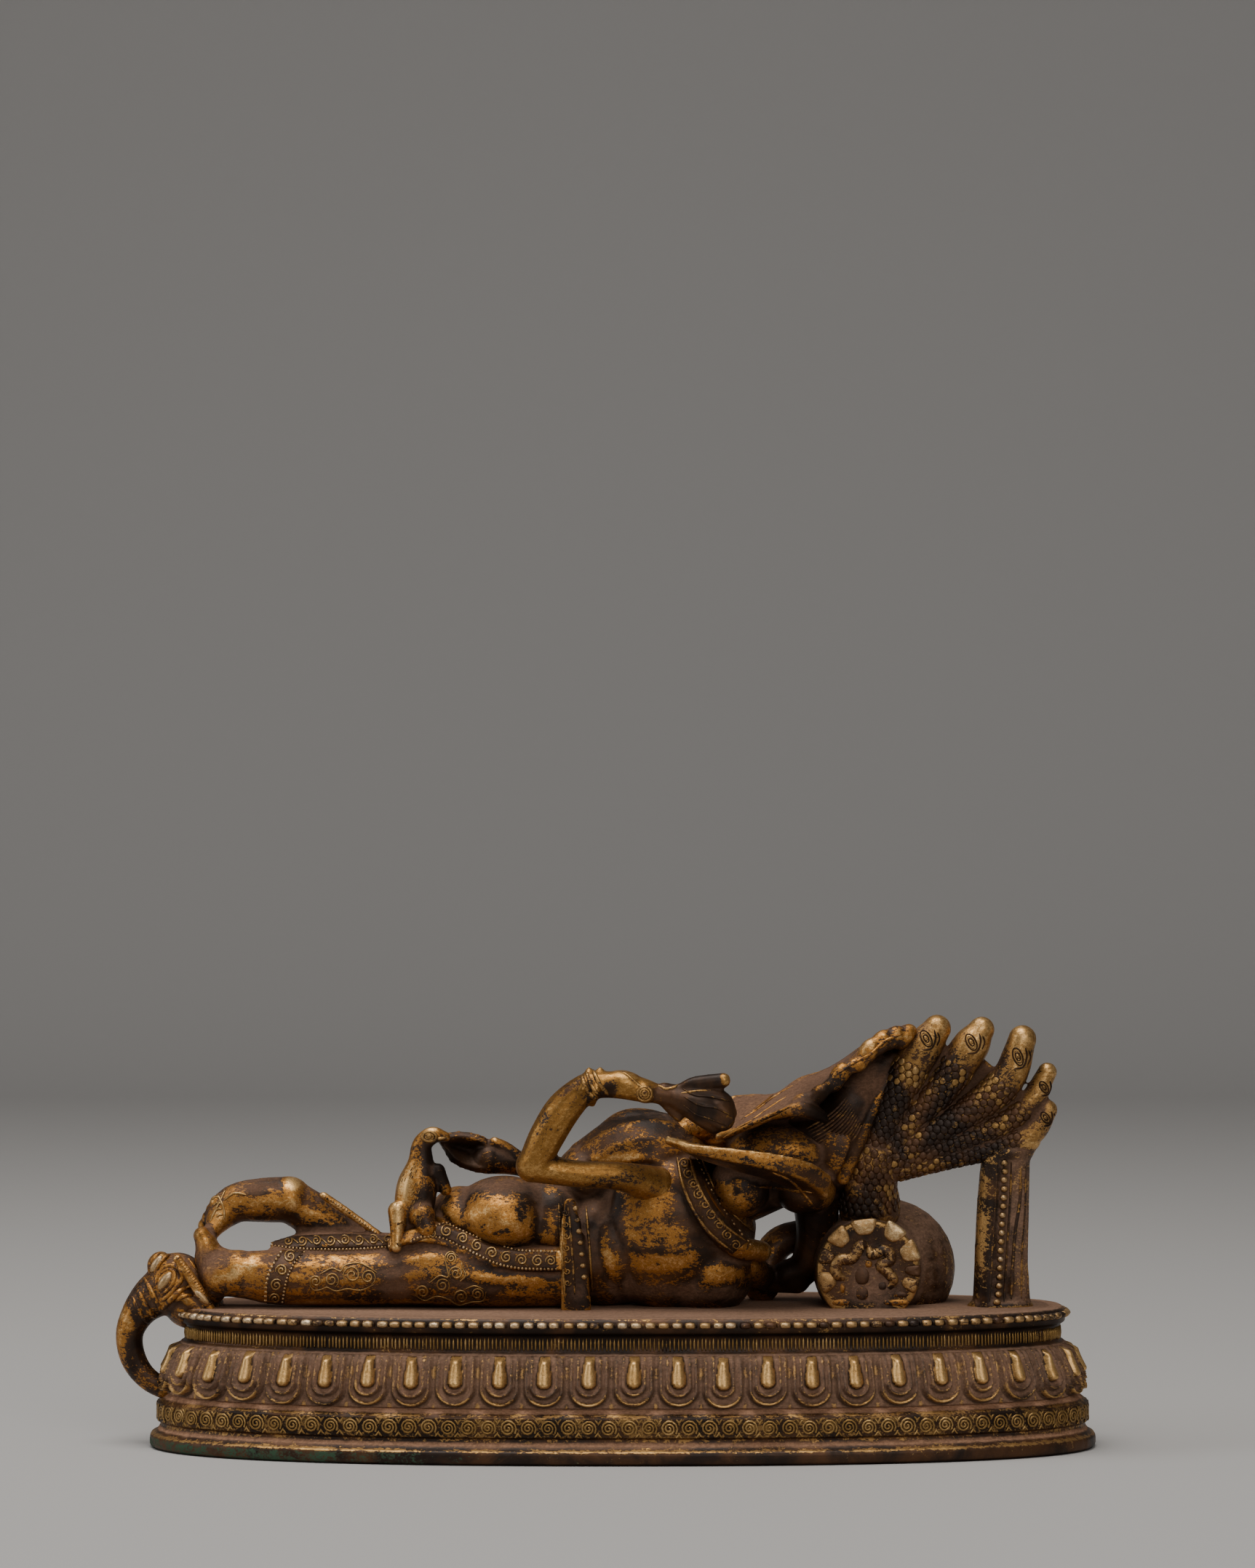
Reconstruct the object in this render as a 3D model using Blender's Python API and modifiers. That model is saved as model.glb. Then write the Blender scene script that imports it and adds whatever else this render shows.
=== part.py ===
"""Reclining elephant-headed figure on an oval lotus base, in gilt copper alloy.

The object lies along X, with the feet at -X and the head at +X, and the viewer's side is -Y.
The origin is the centre of the base's underside.
"""

import math

import bmesh
import bpy
import numpy as np
from mathutils import Euler, Matrix, Vector

# Driving dimensions of the base, in metres
BASE_LENGTH = 0.195
BASE_DEPTH = 0.072
BASE_HEIGHT = 0.0289

# Driving dimension of the figure, from its toes to the last serpent's snout
FIGURE_LENGTH = 0.178

# Clearance between the base and the figure that lies on it
GAP = 0.0003

# The figure's forms are placed in shares of its length, the base's mouldings in shares of the base's length
SHARE = FIGURE_LENGTH / 178
MOULD = BASE_LENGTH / 195
TOP = BASE_HEIGHT

# The base's plan, its petals and its beads
PLAN_POWER = 2.4
PLAN_STEPS = 4001
NORMAL_STEPS = 250
PETALS = 50
PETAL_START = 0.25
BEADS = 188
BEAD_REACH = 1.15
RIM_INSET = 6.2
SMOOTH_COLUMNS = 68

# Fineness of the solids
SPOUT_VOXEL = 0.5 * MOULD
FIGURE_VOXEL = 0.48 * SHARE
SPOUT_TRIANGLES = 460
FIGURE_TRIANGLES = 4350

# Levels of the foot and of the neck: a share of the height, and a width inside the foot rim in mould shares
FOOT_LEVELS = (
    (0.000, 0.9), (0.031, 0.0), (0.085, 0.0), (0.112, 1.2), (0.180, 2.1), (0.190, 1.6),
    (0.320, 1.5), (0.372, 3.2),
)
NECK_LEVELS = ((0.752, 6.4), (0.765, 7.1), (0.880, 7.0))

# Across one petal, in shares of its width: the valley, then the edge and the tongue on either side
PETAL_COLUMNS = (0.13, 0.36, 0.50, 0.64, 0.87)

# Up the petals: the height's share, the width inside the foot rim, and the rise of tongue, edge and valley
PETAL_LEVELS = (
    (0.394, 3.5, (1.0, 0.2, 0.0)),
    (0.450, 3.6, (1.2, 1.1, 0.0)),
    (0.540, 4.0, (1.8, 1.1, 0.0)),
    (0.715, 5.8, (1.3, 0.7, 0.1)),
)

# The sloping joint between the near foot's sole and the ruff, from the base's end, in mould shares
SOLE_LOW = (14.4, 0.0)
SOLE_HIGH = (7.7, 10.9)
CUTTER_SIZE = (30.0, 60.0, 30.0)


def clear_scene():
    for old in list(bpy.data.objects):
        bpy.data.objects.remove(old)


def collection(name):
    made = bpy.data.collections.new(name)
    bpy.context.scene.collection.children.link(made)
    return made


def mesh_object(name, mesh, home):
    made = bpy.data.objects.new(name, mesh)
    home.objects.link(made)
    return made


def evaluated_mesh(source):
    """The mesh that an object has after its modifiers or its curve's bevel."""
    graph = bpy.context.evaluated_depsgraph_get()
    graph.update()
    mesh = bpy.data.meshes.new_from_object(source.evaluated_get(graph))
    mesh.transform(source.matrix_world)
    return mesh


def drop(item):
    bpy.data.objects.remove(item)


def triangle_count(mesh):
    return sum(len(face.vertices) - 2 for face in mesh.polygons)


# The plan of the base: an oval between an ellipse and a rectangle


def plan(fractions):
    """Places and outward normals at fractions of the way round the foot rim, from the +X end towards +Y."""
    turn = np.linspace(0.0, 2.0 * math.pi, PLAN_STEPS)
    power = 2.0 / PLAN_POWER
    x = BASE_LENGTH / 2 * np.sign(np.cos(turn)) * np.abs(np.cos(turn)) ** power
    y = BASE_DEPTH / 2 * np.sign(np.sin(turn)) * np.abs(np.sin(turn)) ** power
    steps = np.hypot(np.diff(x), np.diff(y))
    way = np.concatenate([[0.0], np.cumsum(steps)]) / np.sum(steps)

    def spot(where):
        where = np.mod(where, 1.0)
        return np.stack([np.interp(where, way, x), np.interp(where, way, y)])

    ahead = spot(fractions + 1 / NORMAL_STEPS) - spot(fractions - 1 / NORMAL_STEPS)
    return spot(fractions), np.stack([ahead[1], -ahead[0]]) / np.hypot(*ahead)


def ring(bm, fractions, share, insets):
    """A loop of vertices at a share of the base's height, each set in from the foot rim by its inset."""
    fractions = np.asarray(fractions)
    place, out = plan(fractions)
    x, y = place - out * np.broadcast_to(insets, fractions.shape) * MOULD
    return [(f, bm.verts.new((px, py, share * BASE_HEIGHT))) for f, px, py in zip(fractions, x, y)]


def zip_rings(bm, low, high):
    """Triangles between two loops that may have unlike counts, by their place round the base."""
    low_turns = low + [(low[0][0] + 1.0, low[0][1])]
    high_turns = high + [(high[0][0] + 1.0, high[0][1])]
    i = j = 0
    while i < len(low) or j < len(high):
        next_low = low_turns[i + 1][0] if i < len(low) else math.inf
        next_high = high_turns[j + 1][0] if j < len(high) else math.inf
        if next_low <= next_high:
            bm.faces.new((low_turns[i][1], low_turns[i + 1][1], high_turns[j][1]))
            i += 1
        else:
            bm.faces.new((low_turns[i][1], high_turns[j + 1][1], high_turns[j][1]))
            j += 1


# The lotus base


def petal_ring(bm, share, inset, relief):
    """One level through all the petals, with the rise of tongue, edge and valley."""
    tongue, edge, valley = relief
    across = (tongue, edge, valley, edge, tongue)
    fractions, insets = [], []
    for petal in range(PETALS):
        for column, rise in zip(PETAL_COLUMNS, across):
            fractions.append((petal + column + PETAL_START) / PETALS)
            insets.append(inset - rise)
    return ring(bm, fractions, share, insets)


def bead_rings(bm):
    """The beaded rim: a loop below, the row of crests and valleys, and a loop on top."""
    half = BEAD_REACH * MOULD / BASE_HEIGHT
    beads = np.arange(BEADS) / BEADS
    crests = np.arange(BEADS * 2) / (BEADS * 2)
    reach = np.where(np.arange(BEADS * 2) % 2 == 0, BEAD_REACH, BEAD_REACH * 0.45)
    return [
        ring(bm, beads, 1.0 - 2 * half, RIM_INSET),
        ring(bm, crests, 1.0 - half, RIM_INSET - reach),
        ring(bm, beads, 1.0, RIM_INSET),
    ]


def base_body():
    bm = bmesh.new()
    columns = np.arange(SMOOTH_COLUMNS) / SMOOTH_COLUMNS
    rings = [ring(bm, columns, share, inset) for share, inset in FOOT_LEVELS]
    rings += [petal_ring(bm, *level) for level in PETAL_LEVELS]
    rings += [ring(bm, columns, share, inset) for share, inset in NECK_LEVELS]
    rings += bead_rings(bm)
    for low, high in zip(rings, rings[1:]):
        zip_rings(bm, low, high)
    bm.faces.new([vert for _, vert in reversed(rings[0])])
    bm.faces.new([vert for _, vert in rings[-1]])
    return bm


def finish(bm, name):
    """A mesh from a bmesh, with every face pointing out."""
    bmesh.ops.recalc_face_normals(bm, faces=bm.faces)
    mesh = bpy.data.meshes.new(name)
    bm.to_mesh(mesh)
    bm.free()
    return mesh


def decimated(mesh, wanted, home):
    """The mesh brought down to about the wanted number of triangles."""
    item = mesh_object("form", mesh, home)
    fewer = item.modifiers.new("Fewer faces", "DECIMATE")
    fewer.ratio = min(1.0, wanted / triangle_count(mesh))
    fewer.use_collapse_triangulate = True
    result = evaluated_mesh(item)
    drop(item)
    return result


def largest_shell(mesh):
    """Keeps the outer skin only, so that no hollow is left sealed inside."""
    bm = bmesh.new()
    bm.from_mesh(mesh)
    bm.verts.ensure_lookup_table()
    left = set(bm.verts)
    shells = []
    while left:
        found = {left.pop()}
        edge = list(found)
        while edge:
            vert = edge.pop()
            for link in vert.link_edges:
                other = link.other_vert(vert)
                if other in left:
                    left.discard(other)
                    found.add(other)
                    edge.append(other)
        shells.append(found)
    keep = max(shells, key=len)
    bmesh.ops.delete(bm, geom=[v for shell in shells if shell is not keep for v in shell], context="VERTS")
    bm.to_mesh(mesh)
    bm.free()
    return mesh


def fused(forms, name, voxel, smoothing, home):
    """One skin round all the forms that overlap, with softened joins."""
    bm = bmesh.new()
    for form in forms:
        bm.from_mesh(form)
        bpy.data.meshes.remove(form)
    mesh = bpy.data.meshes.new(name)
    bm.to_mesh(mesh)
    bm.free()
    item = mesh_object("form", mesh, home)
    remesh = item.modifiers.new("One skin", "REMESH")
    remesh.mode = "VOXEL"
    remesh.voxel_size = voxel
    soften = item.modifiers.new("Soft joins", "SMOOTH")
    soften.factor = 0.5
    soften.iterations = smoothing
    result = evaluated_mesh(item)
    drop(item)
    return largest_shell(result)


# Forms that the figures are built from


def ball(centre, radii, turn=(0.0, 0.0, 0.0)):
    """An ellipsoid, turned by degrees about X, Y and Z."""
    bm = bmesh.new()
    spin = Euler([math.radians(a) for a in turn]).to_matrix().to_4x4()
    size = Matrix.Diagonal((*radii, 1.0))
    place = Matrix.Translation(centre) @ spin @ size
    bmesh.ops.create_uvsphere(bm, u_segments=24, v_segments=14, radius=1.0, matrix=place)
    mesh = bpy.data.meshes.new("ball")
    bm.to_mesh(mesh)
    bm.free()
    return mesh


def block(centre, size, turn=(0.0, 0.0, 0.0)):
    bm = bmesh.new()
    spin = Euler([math.radians(a) for a in turn]).to_matrix().to_4x4()
    place = Matrix.Translation(centre) @ spin @ Matrix.Diagonal((*size, 1.0))
    bmesh.ops.create_cube(bm, size=1.0, matrix=place)
    mesh = bpy.data.meshes.new("block")
    bm.to_mesh(mesh)
    bm.free()
    return mesh


def between(points, steps):
    """Points with radii along a smooth curve through the given ones."""
    rows = np.array(points, dtype=float)
    path = np.vstack([2 * rows[0] - rows[1], rows, 2 * rows[-1] - rows[-2]])
    made = []
    for i in range(1, len(path) - 2):
        for step in range(steps):
            t = step / steps
            a, b, c, d = path[i - 1], path[i], path[i + 1], path[i + 2]
            bend = (2 * a - 5 * b + 4 * c - d) * t**2 + (3 * b - a - 3 * c + d) * t**3
            made.append(0.5 * (2 * b + (c - a) * t + bend))
    made.append(path[-2])
    return made


def limb(points, flat=1.0, steps=5):
    """A round tapering tube with round ends through (x, y, z, radius) points, squashed along Y by flat."""
    curve = bpy.data.curves.new("limb", "CURVE")
    curve.dimensions = "3D"
    curve.bevel_depth = 1.0
    curve.bevel_resolution = 4
    curve.use_fill_caps = True
    rows = between(points, steps)
    spline = curve.splines.new("POLY")
    spline.points.add(len(rows) - 1)
    for point, row in zip(spline.points, rows):
        point.co = (row[0], row[1], row[2], 1.0)
        point.radius = max(row[3], 0.0002)
    item = bpy.data.objects.new("limb", curve)
    bpy.context.scene.collection.objects.link(item)
    mesh = evaluated_mesh(item)
    drop(item)
    bpy.data.curves.remove(curve)
    bm = bmesh.new()
    bm.from_mesh(mesh)
    for row in (rows[0], rows[-1]):
        end = ball(row[:3], (row[3] * 1.01,) * 3)
        bm.from_mesh(end)
        bpy.data.meshes.remove(end)
    bmesh.ops.remove_doubles(bm, verts=bm.verts, dist=0.000001)
    middle = sum(row[1] for row in rows) / len(rows)
    for vert in bm.verts:
        vert.co.y = middle + (vert.co.y - middle) * flat
    bm.to_mesh(mesh)
    bm.free()
    return mesh


def sheet(rows, thickness):
    """A shell between two or more rows of points, solidified on both sides."""
    smooth = [between([(*point, 0.0) for point in row], 4) for row in rows]
    bm = bmesh.new()
    loops = [[bm.verts.new(point[:3]) for point in row] for row in smooth]
    for low, high in zip(loops, loops[1:]):
        for i in range(len(low) - 1):
            bm.faces.new((low[i], low[i + 1], high[i + 1], high[i]))
    mesh = bpy.data.meshes.new("sheet")
    bm.to_mesh(mesh)
    bm.free()
    item = bpy.data.objects.new("sheet", mesh)
    bpy.context.scene.collection.objects.link(item)
    shell = item.modifiers.new("Thickness", "SOLIDIFY")
    shell.thickness = thickness
    shell.offset = 0.0
    result = evaluated_mesh(item)
    drop(item)
    return result


def fig(x, y, z):
    """A place in the figure: shares of its length from the base's middle and above the base's top."""
    return (x * SHARE, y * SHARE, TOP + z * SHARE)


def at(*rows):
    """Rows of x, y, z and radius in the figure's shares."""
    return [(*fig(x, y, z), r * SHARE) for x, y, z, r in rows]


def fig_ball(x, y, z, rx, ry, rz, turn=(0.0, 0.0, 0.0)):
    return ball(fig(x, y, z), (rx * SHARE, ry * SHARE, rz * SHARE), turn)


def near_leg():
    return [
        limb(at((-82, -6, 6.8, 4.6), (-77, -6, 6.6, 5.0), (-71, -6, 6.2, 5.7), (-57, -6, 6.0, 5.8),
                (-47, -6, 6.4, 6.1), (-38, -6, 7.4, 7.3), (-26, -6, 6.4, 6.6), (-12, -5, 6.4, 6.6))),
        limb(at((-84.3, -4, 3.2, 2.7), (-84.6, -4, 8.0, 3.0), (-85.6, -4, 12.5, 2.5),
                (-86.6, -4, 14.6, 1.8)), 1.5),
        limb(at((-85, -4, 10, 3.2), (-82, -5, 8, 4.2), (-79, -6, 7, 4.8))),
    ]


def far_leg():
    toes = []
    for i in range(4):
        toes.append(limb(at((-80 - i * 0.6, 2 + i, 22.4 - i * 1.5, 1.6),
                            (-84 - i * 0.9, 1 + i, 21.0 - i * 1.7, 1.5))))
    return toes + [
        limb(at((-52, 7, 8.5, 5.2), (-60, 5, 15.3, 4.8), (-68.6, 3, 21.0, 4.6))),
        limb(at((-69.2, 3, 21.4, 4.8), (-74, 3, 21.3, 4.7), (-79.5, 3, 20.8, 4.2), (-82.5, 2, 18.8, 3.6),
                (-84.5, -1, 15.6, 1.9)), 1.1),
        limb(at((-12, 8, 7, 6.8), (-28, 9, 7.2, 7.2), (-42, 9, 7.4, 6.6), (-52, 7, 8.5, 5.2))),
    ]


def garment():
    """The skirt's flap over both legs, its hem bands and the sash over the near thigh."""
    flap = sheet((
        (fig(-72.5, -4.5, 11.2), fig(-66, -5, 13.0), fig(-58, -5, 13.4), fig(-48, -5, 12.4)),
        (fig(-72.5, -1, 12.2), fig(-66, -1, 13.6), fig(-58, -1, 14.2), fig(-47, -1, 14.0)),
        (fig(-68, 5, 12.0), fig(-62, 5, 15.5), fig(-54, 5, 14.0), fig(-46, 6, 12.5)),
        (fig(-66, 10, 2.0), fig(-60, 12, 6.0), fig(-54, 12, 8.0), fig(-46, 13, 8.0)),
    ), 1.8 * SHARE)
    under = fig_ball(-59, 1, 7.5, 13, 6, 5.8)
    border = limb(at((-72, -5.5, 11.2, 1.0), (-66, -6.5, 12.2, 1.5), (-58, -7, 12.6, 1.6),
                     (-47, -7, 12.4, 1.5)))
    hem = limb(at((-68.5, -9.5, 12.0, 0.9), (-71.5, -11.8, 8.6, 0.9), (-72.8, -12.2, 5.4, 0.9),
                  (-71.8, -10.6, 1.8, 0.9)))
    far_hem = limb(at((-61.8, -1.0, 22.6, 0.9), (-56, -1.5, 18.6, 0.9), (-50.5, -2.2, 14.8, 0.8)))
    sash = limb(at((-47, -10.5, 12.6, 1.0), (-38, -11, 14.6, 1.2), (-31, -12, 11.6, 1.3),
                   (-25, -12.6, 9.6, 1.3), (-14, -12.8, 8.9, 1.3)))
    return [flap, under, border, hem, far_hem, sash]


def mouse():
    return [
        limb(at((-36.4, -6, 35.0, 1.1), (-39, -6, 35.3, 1.9), (-41.2, -6, 33.4, 2.1),
                (-41.5, -6, 29.6, 2.8),
                (-42.2, -6, 25.2, 4.2), (-43, -6, 20, 4.1), (-44, -6, 16.5, 3.0)), 0.9),
        limb(at((-46.2, -8.5, 20, 2.0), (-46.2, -9.5, 16, 1.5), (-46.3, -10.5, 12.6, 1.1))),
        limb(at((-41, -9, 19, 2.6), (-40, -10, 16.5, 2.0))),
        limb(at((-38, -6, 28, 1.6), (-36.4, -5, 24, 1.3))),
    ]


def torso():
    return [
        fig_ball(-24.5, 0, 18.0, 11.0, 13.0, 8.6),
        fig_ball(-33.5, 1, 17.0, 7.0, 10.0, 7.4),
        fig_ball(-24.0, 1, 8.0, 14.0, 12.5, 8.5),
        fig_ball(10.0, 0, 16.0, 17.6, 14.5, 17.5),
        fig_ball(-3.0, 1, 12.0, 13.0, 13.0, 12.5),
        fig_ball(-14.5, 0, 17.0, 8.0, 10.0, 9.0),
        fig_ball(17.6, 0, 8.0, 10.0, 12.0, 10.5),
        limb(at((-7.4, 1, 26.4, 6.6), (-0.4, 2, 29.4, 8.9), (8, 2, 30.4, 9.2), (15, 2, 25, 8.0)), 1.15),
        limb(at((-8.6, 2, 31.0, 2.6), (-3.4, 3, 33.6, 3.6), (1.6, 3, 36.0, 4.4), (8, 2, 34.6, 4.8),
                (14, 0, 31.0, 3.4))),
    ]


def belt():
    """The strap that falls from the belly, and the collar round the neck."""
    strap = limb(at((-10.6, -13.0, 22.8, 3.3), (-10.2, -13.4, 14, 3.5), (-9.8, -12.4, 7, 3.5),
                    (-9.6, -11.4, 2.4, 3.3)), 0.4)
    collar = limb(at((13.8, -8.5, 29.0, 1.8), (15.0, -13.0, 24.5, 2.4), (18.6, -13.4, 18.0, 2.7),
                     (23.4, -10.6, 13.0, 2.6), (28.4, -6.0, 11.5, 2.2)))
    return [strap, collar]


def near_arm():
    hand = [
        limb(at((5.5, -18, 44.9, 2.2), (10, -18, 43.0, 2.5), (15, -18, 41.8, 2.9),
                (20, -18, 41.6, 2.9)), 1.0),
        limb(at((8.5, -18, 46.0, 1.3), (13, -18, 46.7, 1.5), (20.3, -18, 47.4, 1.6))),
        limb(at((14, -18.5, 42.5, 1.7), (20, -18.5, 41.5, 1.9), (21.0, -18, 38.8, 1.7),
                (18.0, -17.5, 38.2, 1.4))),
        limb(at((8.6, -17.5, 43.4, 1.6), (10.4, -17.5, 41.0, 1.3), (11.4, -17.5, 39.6, 0.9))),
    ]
    sleeve = [
        fig_ball(0.4, -18, 46.6, 4.4, 3.0, 2.7, (0, 12, 0)),
        fig_ball(4.4, -18.6, 44.9, 2.6, 2.6, 2.2, (0, 30, 0)),
        limb(at((-8.9, -17.6, 43.4, 0.8), (-8.2, -20.9, 45.6, 0.8), (-6.8, -17.6, 49.2, 0.8))),
        limb(at((-6.2, -17.6, 42.6, 0.8), (-5.4, -20.9, 45.4, 0.8), (-4.6, -17.6, 49.2, 0.8))),
    ]
    arm = [
        limb(at((-17.9, -17, 30.6, 3.4), (-15.3, -18, 36.1, 3.7), (-11.9, -18, 41.6, 3.7),
                (-7.4, -18, 45.8, 3.0),
                (-4.0, -18, 46.4, 2.8), (0, -18, 46.2, 2.8), (4.4, -18, 45.2, 2.5),
                (7.6, -18, 44.4, 1.9))),
        limb(at((-18.4, -16.6, 29.8, 3.4), (-10, -16, 28.2, 2.8), (0, -14, 27.4, 3.0),
                (7, -9, 25, 4.2))),
    ]
    return arm + sleeve + hand


def far_arm():
    return [
        limb(at((10, 9, 30, 4.5), (-2, 13, 26, 3.4), (-14, 11, 26.6, 2.9), (-22, 7, 28.6, 2.6),
                (-28, 6, 29.6, 3.2))),
        sheet((
            (fig(-38.4, 3, 34.4), fig(-34, 4, 35.0), fig(-29.6, 4, 34.2), fig(-26.5, 5, 32.0)),
            (fig(-38.2, 4, 33.2), fig(-34, 6.5, 32.0), fig(-30, 7.5, 31.0), fig(-25.5, 7.5, 30)),
            (fig(-35.4, 3, 29.6), fig(-32.6, 3.5, 28.0), fig(-29, 3.5, 27.2), fig(-25, 5, 27.2)),
        ), 1.8 * SHARE),
        limb(at((-26.6, 5, 33.2, 1.1), (-24.4, 5.5, 31.9, 1.4), (-21.4, 6, 29.4, 1.7))),
    ]


def head():
    return [
        fig_ball(33, 0, 31.5, 12.0, 10.0, 7.0),
        fig_ball(44, 0, 32.5, 8.5, 8.0, 10.0),
        fig_ball(24.0, -7, 24.8, 6.5, 7.0, 6.4),
        fig_ball(37.5, -5, 24.0, 6.5, 7.5, 5.0),
        limb(at((14, 1, 20, 8.0), (24, 0, 23, 6.6), (32, 0, 27, 7.0)), 1.3),
        limb(at((38, 1, 38.4, 4.6), (30, 1, 38.4, 4.4), (22, 1, 37.6, 3.8), (15, 0, 36.4, 3.2),
                (10.6, 0, 34.6, 2.8)), 1.2),
        limb(at((40, 1, 22, 5.0), (40, 3, 14, 4.2), (38, 4, 7.5, 3.6), (34, 4, 5.6, 3.2))),
        limb(at((21, -5, 12, 3.4), (26, -2, 8, 3.2), (30, 4, 5, 2.8), (36, 4, 4.8, 3.0))),
        limb(at((45, 10, 13, 4.0), (36.6, 12, 13.0, 3.4), (31.6, 12, 10.6, 3.4), (29, 11, 3, 3.8)), 1.2),
    ]


def ears():
    near = sheet((
        (fig(8.6, -17, 35.6), fig(14.0, -20.5, 34.6), fig(21.6, -21.5, 33.8), fig(30.4, -20.5, 32.6),
         fig(38.0, -18.0, 30.6), fig(42.4, -13.0, 27.4)),
        (fig(8.8, -15, 34.9), fig(14.4, -20.0, 33.1), fig(22.0, -21.5, 31.5), fig(30.4, -21.0, 29.7),
         fig(37.0, -18.5, 27.2), fig(41.8, -13.0, 23.4)),
        (fig(12.0, -10, 33.4), fig(16.0, -14.0, 31.6), fig(22.5, -15.0, 29.6), fig(30.0, -14.0, 27.4),
         fig(36.0, -12.0, 24.8), fig(40.0, -9.0, 22.0)),
        (fig(18.0, -3, 31.5), fig(21.0, -5.0, 30.2), fig(25.5, -5.5, 28.8), fig(31.0, -5.0, 27.0),
         fig(35.5, -4.0, 25.2), fig(39.0, -3.0, 23.6)),
    ), 1.5 * SHARE)
    far = sheet((
        (fig(16.0, 16, 37.0), fig(23.0, 19.0, 38.2), fig(31.0, 19.0, 38.6), fig(39.0, 16.0, 38.4)),
        (fig(20.0, 9, 38.0), fig(25.0, 11.0, 38.6), fig(31.0, 11.0, 39.0), fig(38.0, 9.0, 39.0)),
        (fig(23.0, 3, 37.6), fig(27.0, 4.0, 38.0), fig(32.0, 4.0, 38.4), fig(37.0, 3.0, 38.4)),
    ), 1.6 * SHARE)
    return [near, far]


def crown():
    """The leaf crown: a folded rim towards the viewer, and a rising back that meets the serpents."""
    rim = ((19.7, -9, 35.2), (25.8, -11, 37.6), (31.2, -12, 40.0), (36.2, -12, 41.6), (40.2, -12, 43.0),
           (43.6, -12, 47.0), (50.0, -11, 51.2), (54.6, -9, 55.0), (59.8, -7, 55.8))
    back = ((22.6, -1, 42.6), (27.0, -1, 42.8), (31.8, -1, 43.0), (36.6, -1, 46.2), (41.0, -1, 47.6),
            (45.0, -1, 49.6), (50.6, -2, 53.6), (53.8, -2, 55.4), (59.4, -3, 55.6))
    far = ((24.0, 7, 37.0), (28.0, 9, 37.6), (32.2, 9, 38.0), (37.0, 9, 41.0), (41.6, 9, 43.0),
           (45.4, 8, 45.4), (50.6, 6, 49.8), (53.8, 4, 52.6), (57.2, 2, 53.6))
    leaf = sheet((
        [fig(*point) for point in rim],
        [fig(*point) for point in back],
        [fig(*point) for point in far],
    ), 1.7 * SHARE)
    lip = limb(at(*[(x, y, z, 1.0) for x, y, z in rim]))
    curl = limb(at((33.0, -12.5, 39.4, 0.9), (36.5, -13.2, 41.0, 1.3), (39.2, -12.8, 39.6, 1.1)))
    return [leaf, lip, curl]


def hair():
    """Combed strands under the crown, and the band that ties them."""
    mass = [
        fig_ball(46.5, 0, 38.5, 8.5, 6.0, 12.5, (0, 28, 0)),
        fig_ball(52.0, 0, 45.5, 6.0, 5.0, 10.0, (0, 35, 0)),
        fig_ball(40.0, 0, 35.0, 9.0, 6.5, 7.0),
    ]
    strands = []
    for i in range(7):
        low = 26.5 + 3.1 * i
        strands.append(limb(at((38.5 + 1.0 * i, -5.6, low + 5.5, 0.8),
                               (43 + 1.1 * i, -6.6, low + 5.0, 0.8),
                               (47.0 + 0.9 * i, -5.8, low + 6.6, 0.8))))
    band = limb(at((45.2, -7.5, 26.5, 1.0), (47.6, -8, 32.0, 1.1), (49.8, -7.6, 38.4, 1.2),
                   (52.6, -6.6, 44.4, 1.1), (56.0, -6.0, 49.4, 1.0)))
    return mass + strands + [band]


SERPENTS = (
    ((49.0, -4, 24.5, 3.2), (53.4, -4, 36.5, 3.3), (57.4, -5, 45.9, 3.4), (61.6, -5.5, 53.0, 3.6),
     (64.6, -5.5, 57.2, 2.6)),
    ((52.0, -4, 28.0, 3.0), (58.6, -4, 37.3, 2.9), (65.6, -4.5, 45.0, 3.1), (71.4, -5, 53.4, 3.5),
     (73.8, -5, 57.0, 2.4)),
    ((53.6, -4, 28.4, 2.8), (61.9, -4, 34.6, 2.8), (71.0, -4, 39.8, 2.9), (79.2, -4.5, 46.8, 3.2),
     (82.2, -4.5, 55.0, 2.6)),
    ((53.6, -4, 28.0, 2.6), (65.0, -3.6, 32.6, 2.4), (75.6, -3.6, 36.4, 2.4), (83.4, -3.6, 41.4, 2.4),
     (87.4, -3.6, 48.2, 1.8)),
    ((55.0, -4, 28.0, 2.4), (66.4, -3.4, 30.4, 2.1), (76.8, -3.4, 32.8, 2.2), (84.0, -3.4, 35.6, 2.5),
     (87.4, -3.6, 40.4, 1.9)),
)


def serpents():
    """Five hooded necks that fan out over the head, with the web of the hood between them."""
    necks = [limb(at(*path)) for path in SERPENTS]
    web = []
    for low, high in zip(SERPENTS, SERPENTS[1:]):
        web.append(sheet((
            [fig(x, -2.0, z) for x, _, z, _ in low[:4]],
            [fig(x, -2.0, z) for x, _, z, _ in high[:4]],
        ), 3.6 * SHARE))
    stem = limb(at((51.5, -3, 30, 5.6), (50.8, -2, 25, 5.6), (51.0, 0, 20, 6.4)))
    return necks + web + [stem]


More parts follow.
